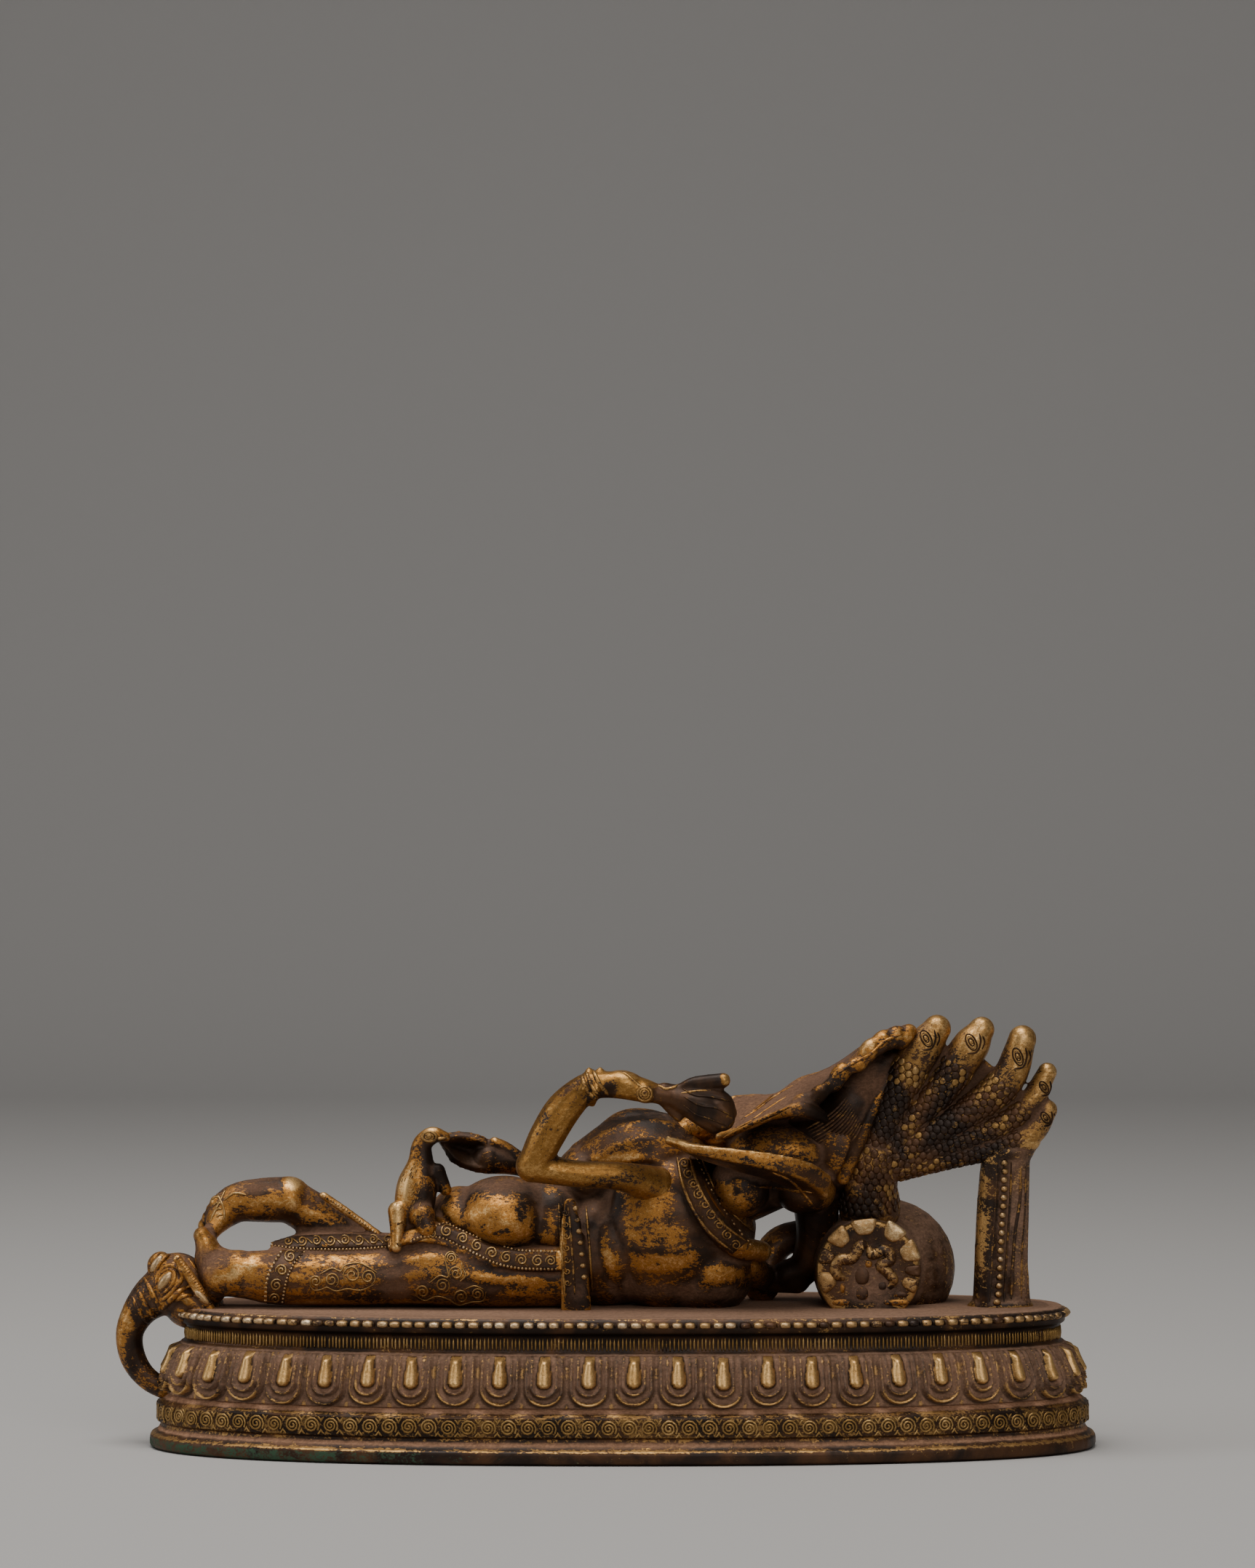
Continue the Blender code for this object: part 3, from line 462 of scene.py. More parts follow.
def petal_course():
    """The lotus petals: a raised plate with two rounded U ridges round a tongue, each petal a little unlike."""
    columns = PETALS * 28
    fractions = spaced(columns)
    levels = np.linspace(-2.0, 76.0, 40)
    up = np.broadcast_to(levels[:, None], (len(levels), columns))
    # Each place's petal, and how far it is across that petal, in the same sixtieths of its width as up
    turn = np.mod(np.broadcast_to(fractions, up.shape) * PETALS - PETAL_START, PETALS)
    number = np.floor(turn).astype(int) % PETALS
    across = (turn - np.floor(turn) - 0.5) * 60.0
    own = np.random.default_rng(21)
    lean, sunk, slimmer, wear = (own.uniform(low, high, PETALS)[number] for low, high in (
        (-1.6, 1.6), (-1.5, 1.8), (0.86, 1.08), (0.15, 1.0)))
    across = across + lean * (up / 76.0 - 0.4)
    rise = up - sunk

    def from_arch(foot):
        """The distance from a U's middle line: round below the foot, straight above it."""
        return np.where(rise < foot, np.hypot(across, rise - foot), np.abs(across))

    outer = from_arch(27)
    inner = from_arch(33) / slimmer
    width = 9.6 - 3.0 * smoothstep(42, 70, rise)
    tongue = from_arch(37.5) * 9.5 / width
    fade = 1.0 - 0.55 * smoothstep(46, 72, rise)
    plate = 0.55 * smoothstep(29.0, 22.5, outer) + 0.12 * smoothstep(20.0, 14.0, inner)
    ridge_out = bell(outer, 23.8, 2.5)
    ridge_in = bell(inner, 15.6, 2.3)
    knob = np.sqrt(np.clip(1.0 - (tongue / 9.5) ** 2, 0.0, 1.0)) * smoothstep(77, 68, rise)
    relief = plate + 1.05 * fade * ridge_out + 1.05 * fade * ridge_in + 1.4 * knob
    relief -= 0.4 * fade * bell(inner, 19.7, 1.7) + 0.45 * fade * bell(outer, 28.2, 1.8)
    relief *= smoothstep(78, 66, up) * 0.85 + 0.15
    relief *= 1.0 + 0.25 * smoothstep(60, 25, up)
    relief += 0.06 * wander(fractions, (37, 61, 83, 131), 5)[None, :]
    share = 0.394 + levels / 76.0 * 0.345
    lowest = np.interp(share, (0.385, 0.45, 0.54, 0.715, 0.745), (3.5, 3.6, 4.0, 5.8, 6.5))
    insets = (lowest[:, None] - relief) * MM
    back = np.array([[9.0], [9.0]]) * MM * np.ones((1, columns))
    heights = np.concatenate([share, [share[-1], share[0]]])[:, None] * TOP
    mesh = closed_ring("petal_course", fractions, heights, np.vstack([insets, back]))
    bottom = smoothstep(26, 4, rise)
    spread = own.uniform(-0.2, 0.35, columns)
    drop_face = smoothstep(9.9, 9.2, tongue) * smoothstep(77, 72, rise)
    gilt = 0.05 + drop_face * (0.45 * wear + 0.8) + ridge_in * (0.4 + 0.85 * wear * bottom)
    gilt += ridge_out * (0.36 + 0.9 * wear * bottom)
    gap = smoothstep(25.5, 29.5, np.abs(across))
    gap_top = gap * smoothstep(34, 46, rise) * smoothstep(66, 56, rise)
    gilt += gap_top * (0.62 + spread[None, :] * 0.4)
    gilt += gap * smoothstep(9, 3, up) * 0.75
    dust = 0.76 - 1.1 * drop_face - (0.32 + 0.4 * bottom) * ridge_in - (0.28 + 0.4 * bottom) * ridge_out
    dust -= 0.35 * gap * smoothstep(9, 3, up) + 0.3 * gap_top
    # Painted shade in the groove round each tongue, in the valleys beside the U ridges and in the gaps between petals
    shade = 0.85 * smoothstep(9.0, 9.9, tongue) * smoothstep(13.0, 10.6, tongue) * smoothstep(78, 66, rise)
    shade += 0.6 * bell(inner, 19.6, 1.5) * (0.35 + 0.65 * bottom)
    shade += 0.62 * bell(outer, 27.8, 1.6) * (0.45 + 0.55 * bottom)
    shade += 0.35 * gap * smoothstep(30, 8, rise) * smoothstep(4, 10, up)
    rest = np.zeros((2, columns))
    paint(mesh, gilt=np.vstack([gilt, rest]).ravel(), dust=np.vstack([dust, rest + 0.7]).ravel(),
          shade=np.vstack([shade, rest]).ravel())
    piece("petal_course", mesh, "dusty_petals", BASE)


def foot_and_steps():
    """The foot rim with its bright crest, the hollow step, the scroll band's plain ground and the slope over it."""
    columns = 760
    fractions = spaced(columns)
    profile = (
        (0.000, 1.3), (0.004, 0.5), (0.02, 0.15), (0.031, 0.0), (0.05, -0.02), (0.07, 0.0), (0.085, 0.05),
        (0.096, 0.25), (0.103, 0.62), (0.109, 1.00), (0.12, 1.42), (0.135, 1.78), (0.15, 2.02), (0.165, 2.14),
        (0.176, 2.14), (0.184, 1.95), (0.189, 1.62), (0.193, 1.52), (0.2, 1.56), (0.23, 1.54), (0.27, 1.52),
        (0.305, 1.54), (0.318, 1.56), (0.324, 1.62), (0.328, 1.9), (0.336, 2.15), (0.345, 2.5), (0.356, 2.95),
        (0.366, 3.35), (0.376, 3.75), (0.388, 4.1), (0.392, 8.5), (0.0, 8.5),
    )
    share, inset = np.array(profile).T
    dents = 0.1 * wander(fractions, (23, 41, 67, 97), 3) + 0.05 * wander(fractions, (151, 203, 257), 4)
    flaw_place = plan(fractions)[0]
    flaw = bell(flaw_place[0], 0.0287, 0.005) * (flaw_place[1] < 0.0)
    insets = np.repeat(inset[:, None], columns, axis=1)
    soft = smoothstep(0.0, 0.02, share) * smoothstep(0.39, 0.33, share)
    insets += dents[None, :] * soft[:, None]
    insets += 0.45 * flaw[None, :] * bell(share, 0.135, 0.02)[:, None]
    mesh = closed_ring("foot_and_steps", fractions, (share * TOP)[:, None], insets * MM)
    height = np.broadcast_to(share[:, None], insets.shape)
    uneven = wander(fractions, (7, 13, 29, 47, 71), 8)[None, :]
    gilt = 0.12 + 0.75 * bell(height, 0.1, 0.012) * (0.75 + 0.5 * uneven) + 0.3 * bell(height, 0.17, 0.02)
    band = smoothstep(0.185, 0.19, height) * smoothstep(0.33, 0.325, height)
    gilt += 0.26 * band
    gilt += 0.7 * bell(height, 0.34, 0.01) * (0.7 + 0.8 * uneven)
    dust = 0.1 + 0.72 * bell(height, 0.14, 0.018) + 0.7 * smoothstep(0.335, 0.36, height)
    low = smoothstep(0.095, 0.08, height)
    left = smoothstep(0.005, -0.085, flaw_place[0][None, :])
    green = low * (0.16 + 0.44 * left + 0.2 * uneven)
    gilt = gilt - low * (0.1 - 0.25 * uneven)
    # Painted shade: a dark strip along the bottom edge where the foot meets the floor, in the hollow step, over the
    # foot's low face and on the scroll band's ground
    shade = 0.9 * smoothstep(0.022, 0.0, height) + 0.4 * bell(height, 0.186, 0.006)
    shade += 0.22 * low + 0.42 * band
    gilt += 0.3 * flaw[None, :] * bell(height, 0.12, 0.012)
    paint(mesh, gilt=gilt.ravel(), dust=dust.ravel(), green=green.ravel(), shade=shade.ravel())
    piece("foot_and_steps", mesh, "verdigris_foot", BASE)


def neck_and_table():
    """The ribbed neck over the petals, the ledge that the beads lie on, and the flat top under the figure."""
    columns = 520
    fractions = spaced(columns)
    profile = (
        (0.7, 8.8), (0.735, 6.3), (0.745, 6.25), (0.752, 6.6), (0.76, 7.1), (0.775, 7.35), (0.8, 7.45),
        (0.83, 7.45), (0.858, 7.35), (0.876, 7.1), (0.886, 6.75), (0.892, 6.45), (0.9, 6.3), (0.945, 6.25),
        (0.975, 6.35), (0.99, 6.7), (0.998, 7.2), (1.000, 8.2), (1.0, 8.8), (1.0, 9.6), (0.96, 10.4), (0.7, 10.8),
    )
    share, inset = np.array(profile).T
    insets = np.repeat(inset[:, None], columns, axis=1)
    insets += 0.1 * wander(fractions, (31, 47, 73), 11)[None, :] * smoothstep(0.7, 0.74, share)[:, None]
    heights = np.repeat((share * TOP)[:, None], columns, axis=1)
    uneven = wander(fractions, (5, 11, 19, 31), 12)[None, :]
    height = np.broadcast_to(share[:, None], insets.shape)
    mesh = closed_ring("neck_and_table", fractions, heights, insets * MM)
    on_top = smoothstep(0.985, 0.999, height)
    gilt = 0.1 + 0.3 * uneven * (1 - on_top) + 0.28 * bell(height, 0.99, 0.006)
    dust = 0.18 + 0.62 * on_top + 0.55 * smoothstep(0.765, 0.745, height)
    # Painted shade under the ledge that the beads lie on and over the sunken neck below it
    shade = 0.75 * bell(height, 0.885, 0.016) + 0.35 * smoothstep(0.76, 0.79, height) * (1 - on_top) * (height < 0.93)
    paint(mesh, gilt=gilt.ravel(), dust=dust.ravel(), shade=shade.ravel())
    piece("neck_and_table", mesh, "dusty_petals", BASE)


def base_core():
    """The closed slab inside the courses: the underside that the part stands on and the middle of the top."""
    place, out = plan(spaced(160))
    bm = bmesh.new()
    loops = []
    for share, inset in ((0.0, 6.0), (0.1, 8.0), (0.4, 8.2), (0.7, 9.0), (0.95, 9.4), (0.9985, 9.4)):
        x, y = place - out * inset * MM
        loops.append([bm.verts.new((a, b, share * TOP)) for a, b in zip(x, y)])
    bridge(bm, loops, closed=True)
    for loop in (loops[0], loops[-1]):
        inner = [bm.verts.new((v.co.x * 0.5, v.co.y * 0.5, v.co.z)) for v in loop]
        bridge(bm, (loop, inner), closed=True)
        bm.faces.new(inner)
    bmesh.ops.recalc_face_normals(bm, faces=bm.faces)
    mesh = held_mesh(bm, "base_core")
    height = points_of(mesh)[:, 2] / TOP
    # Painted shade towards the floor, over the lowest tenth
    paint(mesh, gilt=0.16, dust=0.25 + 0.55 * smoothstep(0.97, 1.0, height),
        shade=0.35 * smoothstep(0.1, 0.0, height))
    piece("base_core", mesh, "dusty_petals", BASE)


# Repeated and running work, made with geometry nodes


def node_tree(name, inputs, nodes, links):
    """A tree with named inputs. Nodes are (short name, kind, settings), links are "node.socket > node.socket"."""
    tree = bpy.data.node_groups.new(name, "GeometryNodeTree")
    tree.interface.new_socket("Geometry", in_out="INPUT", socket_type="NodeSocketGeometry")
    names = {}
    for label, kind, value in inputs:
        socket = tree.interface.new_socket(label, in_out="INPUT", socket_type=kind)
        if value is not None:
            socket.default_value = value
        names[label] = socket.identifier
    tree.interface.new_socket("Geometry", in_out="OUTPUT", socket_type="NodeSocketGeometry")
    made = {}
    for label, kind, settings in (("start", "NodeGroupInput", {}), ("end", "NodeGroupOutput", {}), *nodes):
        made[label] = tree.nodes.new(kind)
        for key, value in settings.items():
            setattr(made[label], key, value)
        if kind == "GeometryNodeInputNamedAttribute":
            made[label].inputs["Name"].default_value = label
    for row in links:
        (source, out), (target, into) = (end.split(".") for end in row.split(" > "))
        tree.links.new(made[source].outputs[out], made[target].inputs[into])
    return tree, made, names


def motif_tree():
    """Sets one motif on every point, standing along the point's facing, turned along its ahead and sized by it."""
    attribute = "GeometryNodeInputNamedAttribute"
    tree, _, names = node_tree("Set motifs", (
        ("Motif", "NodeSocketObject", None), ("Finish", "NodeSocketMaterial", None), ("Size", "NodeSocketFloat", 1.0),
    ), (
        ("facing", attribute, {"data_type": "FLOAT_VECTOR"}),
        ("ahead", attribute, {"data_type": "FLOAT_VECTOR"}),
        ("size", attribute, {"data_type": "FLOAT_VECTOR"}),
        ("motif", "GeometryNodeObjectInfo", {}),
        ("turn", "FunctionNodeAxesToRotation", {"primary_axis": "Z", "secondary_axis": "X"}),
        ("scale", "ShaderNodeVectorMath", {"operation": "SCALE"}),
        ("place", "GeometryNodeInstanceOnPoints", {}),
        ("solid", "GeometryNodeRealizeInstances", {}),
        ("paint", "GeometryNodeSetMaterial", {}),
    ), (
        "start.Motif > motif.Object", "facing.Attribute > turn.Primary Axis", "ahead.Attribute > turn.Secondary Axis",
        "size.Attribute > scale.Vector", "start.Size > scale.Scale", "start.Geometry > place.Points",
        "motif.Geometry > place.Instance", "turn.Rotation > place.Rotation", "scale.Vector > place.Scale",
        "place.Instances > solid.Geometry", "solid.Geometry > paint.Geometry", "start.Finish > paint.Material",
        "paint.Geometry > end.Geometry",
    ))
    return tree, names


def thread_tree():
    """Draws a rounded thread along every line, as thick as the line's own thickness says."""
    tree, made, names = node_tree("Lay threads", (
        ("Finish", "NodeSocketMaterial", None), ("Thickness", "NodeSocketFloat", 1.0), ("Sides", "NodeSocketInt", 6),
    ), (
        ("thick", "GeometryNodeInputNamedAttribute", {"data_type": "FLOAT"}),
        ("line", "GeometryNodeMeshToCurve", {}),
        ("rim", "GeometryNodeCurvePrimitiveCircle", {}),
        ("body", "GeometryNodeCurveToMesh", {}),
        ("solid", "GeometryNodeRealizeInstances", {}),
        ("paint", "GeometryNodeSetMaterial", {}),
    ), (
        "start.Geometry > line.Mesh", "thick.Attribute > body.Scale", "start.Sides > rim.Resolution",
        "start.Thickness > rim.Radius", "line.Curve > body.Curve", "rim.Curve > body.Profile Curve",
        "body.Mesh > solid.Geometry", "solid.Geometry > paint.Geometry", "start.Finish > paint.Material",
        "paint.Geometry > end.Geometry",
    ))
    made["body"].inputs["Fill Caps"].default_value = True
    return tree, names


TREES = {}


def grown_mesh(source_mesh, tree_name, values):
    """Runs one of the two trees on a mesh of points or lines, and gives the plain mesh that comes out."""
    if tree_name not in TREES:
        TREES[tree_name] = motif_tree() if tree_name == "motifs" else thread_tree()
    tree, names = TREES[tree_name]
    item = bpy.data.objects.new("source", source_mesh)
    pieces_home.objects.link(item)
    step = item.modifiers.new("Ornament", "NODES")
    step.node_group = tree
    for label, value in values.items():
        step[names[label]] = value
    mesh = evaluated_mesh(item)
    item.modifiers.remove(step)
    drop(item)
    return mesh


def add_layer(mesh, name, kind, values):
    """A float or vector attribute with one value for each vertex."""
    layer = mesh.attributes.new(name, kind, "POINT")
    key = "vector" if kind == "FLOAT_VECTOR" else "value"
    layer.data.foreach_set(key, np.asarray(values, dtype=np.float32).ravel())


def set_motifs(name, motif_mesh, spots, finish_name, home=FIGURE, **layers):
    """A row or field of one motif. Spots are places, facings, ways ahead, and sizes along, across and up."""
    places, facing, ahead, sizes = spots
    count = len(places)
    mesh = bpy.data.meshes.new(name)
    mesh.vertices.add(count)
    mesh.vertices.foreach_set("co", np.asarray(places, dtype=np.float64).ravel())
    for key, values in (("facing", facing), ("ahead", ahead), ("size", sizes)):
        add_layer(mesh, key, "FLOAT_VECTOR", values)
    motif = bpy.data.objects.new("motif", motif_mesh)
    pieces_home.objects.link(motif)
    made = grown_mesh(mesh, "motifs", {"Motif": motif, "Finish": finish(finish_name), "Size": 1.0})
    each = len(motif_mesh.vertices)
    crown = points_of(motif_mesh)[:, 2]
    crown = (crown - crown.min()) / max(crown.max() - crown.min(), 1e-9)
    drop(motif)
    own = {key: np.repeat(np.broadcast_to(layers.get(key, 0.0), (count,)), each) for key in LAYERS}
    high = np.tile(crown, count)
    # Gilt brightest on each motif's crown; painted shade on its low part, where it meets the ground
    own["gilt"] = own["gilt"] * (0.25 + 0.75 * smoothstep(0.3, 0.75, high))
    own["shade"] = own["shade"] + 0.55 * smoothstep(0.42, 0.12, high)
    paint(made, **own)
    piece(name, made, finish_name, home)


def bead_mesh(segments, rings, barrel=1.0):
    """A round bead of radius one, made squarer along X by barrel."""
    bm = bmesh.new()
    bmesh.ops.create_uvsphere(bm, u_segments=segments, v_segments=rings, radius=1.0)
    for vert in bm.verts:
        vert.co.x = math.copysign(abs(vert.co.x) ** (1.0 / barrel), vert.co.x)
    return held_mesh(bm, "bead")


def on_plan(fractions, share, inset):
    """Places, outward facing and way ahead along the base at a height share and an inset in millimetres."""
    place, out = plan(fractions)
    ground = place - out * np.asarray(inset) * MM
    count = len(fractions)
    height = np.broadcast_to(np.asarray(share) * TOP, (count,))
    places = np.stack([ground[0], ground[1], height], axis=-1)
    facing = np.stack([out[0], out[1], np.zeros(count)], axis=-1)
    ahead = np.stack([-out[1], out[0], np.zeros(count)], axis=-1)
    return places, facing, ahead


def beaded_rim():
    """Long flat barrels round the rim, with a slim ring between each pair."""
    own = np.random.default_rng(31)
    fractions = (np.arange(BEADS) + own.uniform(-0.08, 0.08, BEADS)) / BEADS
    sizes = np.stack([own.uniform(low, high, BEADS) * size for low, high, size in (
        (0.92, 1.06, 0.00116), (0.94, 1.04, 0.00074), (0.94, 1.04, 0.00118))], axis=-1)
    share, inset = 0.952, RIM_INSET + 0.1
    gilt = np.where(own.uniform(size=BEADS) < 0.85, own.uniform(0.85, 1.35, BEADS), own.uniform(0.45, 0.7, BEADS))
    gilt = gilt * (1.0 - 0.38 * smoothstep(-0.01, 0.045, on_plan(fractions, 0.975, RIM_INSET)[0][:, 0]))
    set_motifs("beaded_rim", bead_mesh(10, 6, 2.4), (*on_plan(fractions, share, inset), sizes), "roller_gilt", BASE,
               gilt=gilt, dust=0.12)
    # The slim rings carry painted shade, so that they read as dark gaps between the barrels
    ring_size = np.ones((BEADS, 3)) * (0.0002, 0.0006, 0.00092)
    set_motifs("rim_rings", bead_mesh(6, 4), (*on_plan(fractions + 0.5 / BEADS, share, inset), ring_size),
               "roller_gilt", BASE, gilt=0.35, dust=0.1, shade=0.35)


def neck_ribs():
    """Fine upright ribs round the neck, rubbed bright in stretches and choked with dirt in others."""
    own = np.random.default_rng(41)
    fractions = (np.arange(NECK_RIBS) + own.uniform(-0.12, 0.12, NECK_RIBS)) / NECK_RIBS
    spots = on_plan(fractions, 0.815 + own.uniform(-0.004, 0.004, NECK_RIBS), 7.42)
    uneven = wander(fractions, (5, 11, 19, 31), 12)
    sizes = np.stack([
        own.uniform(0.22, 0.28, NECK_RIBS) * MM,
        own.uniform(0.92, 1.04, NECK_RIBS) * 1.72 * MM,
        own.uniform(0.34, 0.44, NECK_RIBS) * MM,
    ], axis=-1)
    gilt = np.clip(0.85 + 0.4 * uneven + own.uniform(-0.15, 0.2, NECK_RIBS), 0.3, 1.3)
    set_motifs("neck_ribs", bead_mesh(5, 4), (*spots, sizes), "chased_band", BASE, gilt=gilt, dust=0.05)


def spiral(radius, turns, start, hand=1, eye=0.12, steps=12):
    """A flat curl round (0, 0) from its eye outwards, with so many steps in a turn. Start is in degrees."""
    count = int(turns * steps)
    points = []
    for i in range(count + 1):
        angle = math.radians(start) + hand * i / count * turns * 2 * math.pi
        reach = radius * (eye + (1.0 - eye) * i / count)
        points.append((reach * math.cos(angle), reach * math.sin(angle)))
    return points


def line_mesh(lines):
    """A mesh of separate lines. Each line is its points and one thickness or a list of them."""
    places, edges, thick = [], [], []
    for points, thickness in lines:
        first = len(places)
        places.extend(points)
        edges.extend((first + i, first + i + 1) for i in range(len(points) - 1))
        thick.extend(np.broadcast_to(thickness, (len(points),)))
    mesh = bpy.data.meshes.new("lines")
    mesh.from_pydata(places, edges, [])
    add_layer(mesh, "thick", "FLOAT", thick)
    return mesh


def scroll_band():
    """Chased running scrolls: flat gilt lands with narrow grooves darkened by painted shade, and small leaves in the
    corners.
    """
    radius = 1.86 * MM
    land = 0.25 * MM
    lines = [([(x, y, 0.0) for x, y in spiral(radius * 0.9, 2.35, 90, -1, 0.1, 11)], 1.0)]
    reach = 2.2 * MM
    for side in (1, -1):
        corner = [(side * reach * 1.02 * math.cos(a), reach * 1.02 * math.sin(a), 0.0)
                  for a in np.linspace(math.radians(52 * side), math.radians(20 * side), 4)]
        lines.append((corner, [0.5, 1.0, 0.9, 0.4]))
        low = [(x, -z, y) for x, z, y in corner]
        lines.append((low, [0.5, 1.0, 0.9, 0.4]))
    motif = grown_mesh(line_mesh(lines), "threads", {"Finish": finish("chased_band"), "Thickness": land, "Sides": 5})
    places = points_of(motif)
    places[:, 2] = places[:, 2] * 0.55
    move_points(motif, places)
    own = np.random.default_rng(51)
    fractions = (np.arange(SCROLLS) + 0.3) / SCROLLS
    spots = on_plan(fractions, 0.256 + own.uniform(-0.003, 0.003, SCROLLS), 1.5)
    sizes = np.ones((SCROLLS, 3)) * own.uniform(0.95, 1.04, (SCROLLS, 1))
    gilt = np.clip(0.85 + 0.25 * wander(fractions, (3, 7, 13, 29), 52) + own.uniform(-0.1, 0.15, SCROLLS), 0.4, 1.3)
    set_motifs("scroll_band", motif, (*spots, sizes), "chased_band", BASE, gilt=gilt, dust=0.08)


def lotus_base():
    foot_and_steps()
    petal_course()
    neck_and_table()
    base_core()
    beaded_rim()
    neck_ribs()
    scroll_band()


# The figure's forms, in shares of its length, rounded and joined


def placed(centre, size, turn):
    """The matrix that sizes, then turns by degrees about X, Y and Z, then moves."""
    spin = Euler([math.radians(a) for a in turn]).to_matrix().to_4x4()
    return Matrix.Translation(centre) @ spin @ Matrix.Diagonal((*size, 1.0))


def ball(centre, radii, turn=(0.0, 0.0, 0.0)):
    """An ellipsoid, turned by degrees about X, Y and Z."""
    bm = bmesh.new()
    bmesh.ops.create_uvsphere(bm, u_segments=24, v_segments=14, radius=1.0, matrix=placed(centre, radii, turn))
    return held_mesh(bm, "ball")


def block(centre, size):
    bm = bmesh.new()
    bmesh.ops.create_cube(bm, size=1.0, matrix=placed(centre, size, (0.0, 0.0, 0.0)))
    return held_mesh(bm, "block")


def between(points, steps):
    """Points with radii along a smooth curve through the given ones."""
    rows = np.array(points, dtype=float)
    path = np.vstack([2 * rows[0] - rows[1], rows, 2 * rows[-1] - rows[-2]])
    made = []
    for i in range(1, len(path) - 2):
        for step in range(steps):
            t = step / steps
            a, b, c, d = path[i - 1:i + 3]
            bend, twist = 2 * a - 5 * b + 4 * c - d, 3 * b - a - 3 * c + d
            made.append(0.5 * (2 * b + (c - a) * t + bend * t**2 + twist * t**3))
    made.append(path[-2])
    return made


def limb(points, flat=1.0):
    """A round tapering tube with round ends through (x, y, z, radius) points, squashed along Y by flat."""
    curve = bpy.data.curves.new("limb", "CURVE")
    curve.dimensions = "3D"
    curve.bevel_depth = 1.0
    curve.bevel_resolution = 4
    curve.use_fill_caps = True
    rows = between(points, LIMB_STEPS)
    spline = curve.splines.new("POLY")
    spline.points.add(len(rows) - 1)
    for point, row in zip(spline.points, rows):
        point.co = (row[0], row[1], row[2], 1.0)
        point.radius = max(row[3], 0.0002)
    item = bpy.data.objects.new("limb", curve)
    bpy.context.scene.collection.objects.link(item)
    mesh = evaluated_mesh(item)
    drop(item)
    bpy.data.curves.remove(curve)
    bm = bmesh.new()
    bm.from_mesh(mesh)
    for row in (rows[0], rows[-1]):
        end = ball(row[:3], (row[3] * 1.01,) * 3)
        bm.from_mesh(end)
        bpy.data.meshes.remove(end)
    bmesh.ops.remove_doubles(bm, verts=bm.verts, dist=0.000001)
    middle = sum(row[1] for row in rows) / len(rows)
    for vert in bm.verts:
        vert.co.y = middle + (vert.co.y - middle) * flat
    bm.to_mesh(mesh)
    bm.free()
    return mesh


def sheet(rows, thickness):
    """A shell between two or more rows of points, solidified on both sides."""
    smooth = [between([(*point, 0.0) for point in row], 4) for row in rows]
    bm = bmesh.new()
    loops = [[bm.verts.new(point[:3]) for point in row] for row in smooth]
    bridge(bm, loops)
    item = bpy.data.objects.new("sheet", held_mesh(bm, "sheet"))
    bpy.context.scene.collection.objects.link(item)
    shell = item.modifiers.new("Thickness", "SOLIDIFY")
    shell.thickness = thickness
    shell.offset = 0.0
    result = evaluated_mesh(item)
    drop(item)
    return result


def fig(x, y, z):
    """A place in the figure: shares of its length from the base's middle and above the base's top."""
    return (x * SHARE, y * SHARE, TOP + z * SHARE)


def at(*rows):
    """Rows of x, y, z and radius in the figure's shares."""
    return [(*fig(x, y, z), r * SHARE) for x, y, z, r in rows]


def fig_ball(x, y, z, rx, ry, rz, turn=(0.0, 0.0, 0.0)):
    return ball(fig(x, y, z), (rx * SHARE, ry * SHARE, rz * SHARE), turn)


def fig_sheet(rows, thickness):
    """A shell between rows of places, in the figure's shares."""
    return sheet([[fig(*point) for point in row] for row in rows], thickness * SHARE)


def near_leg():
    return [
        limb(at((-82, -6, 6.8, 4.6), (-77, -6, 6.6, 5), (-71, -6, 6.2, 5.7), (-57, -6, 6, 5.8),
                (-47, -6, 6.4, 6.1), (-38, -6, 7.4, 7.3), (-26, -6, 6.4, 6.6), (-12, -5, 6.4, 6.6))),
        limb(at((-84.3, -4, 3.2, 2.7), (-84.6, -4, 8, 3), (-85.6, -4, 12.5, 2.5), (-86.6, -4, 14.6, 1.8)), 1.5),
        limb(at((-85, -4, 10, 3.2), (-82, -5, 8, 4.2), (-79, -6, 7, 4.8))),
    ]


def far_leg():
    toes = []
    for i in range(4):
        toes.append(limb(at((-80 - i * 0.6, 2 + i, 22.4 - i * 1.5, 1.6),
                            (-84 - i * 0.9, 1 + i, 21 - i * 1.7, 1.5))))
    return toes + [
        limb(at((-52, 7, 8.5, 5.2), (-60, 5, 15.3, 4.8), (-68.6, 3, 21, 4.6))),
        limb(at((-69.2, 3, 21.4, 4.8), (-74, 3, 21.3, 4.7), (-79.5, 3, 20.8, 4.2), (-82.5, 2, 18.8, 3.6),
                (-84.5, -1, 15.6, 1.9)), 1.1),
        limb(at((-12, 8, 7, 6.8), (-28, 9, 7.2, 7.2), (-42, 9, 7.4, 6.6), (-52, 7, 8.5, 5.2))),
    ]


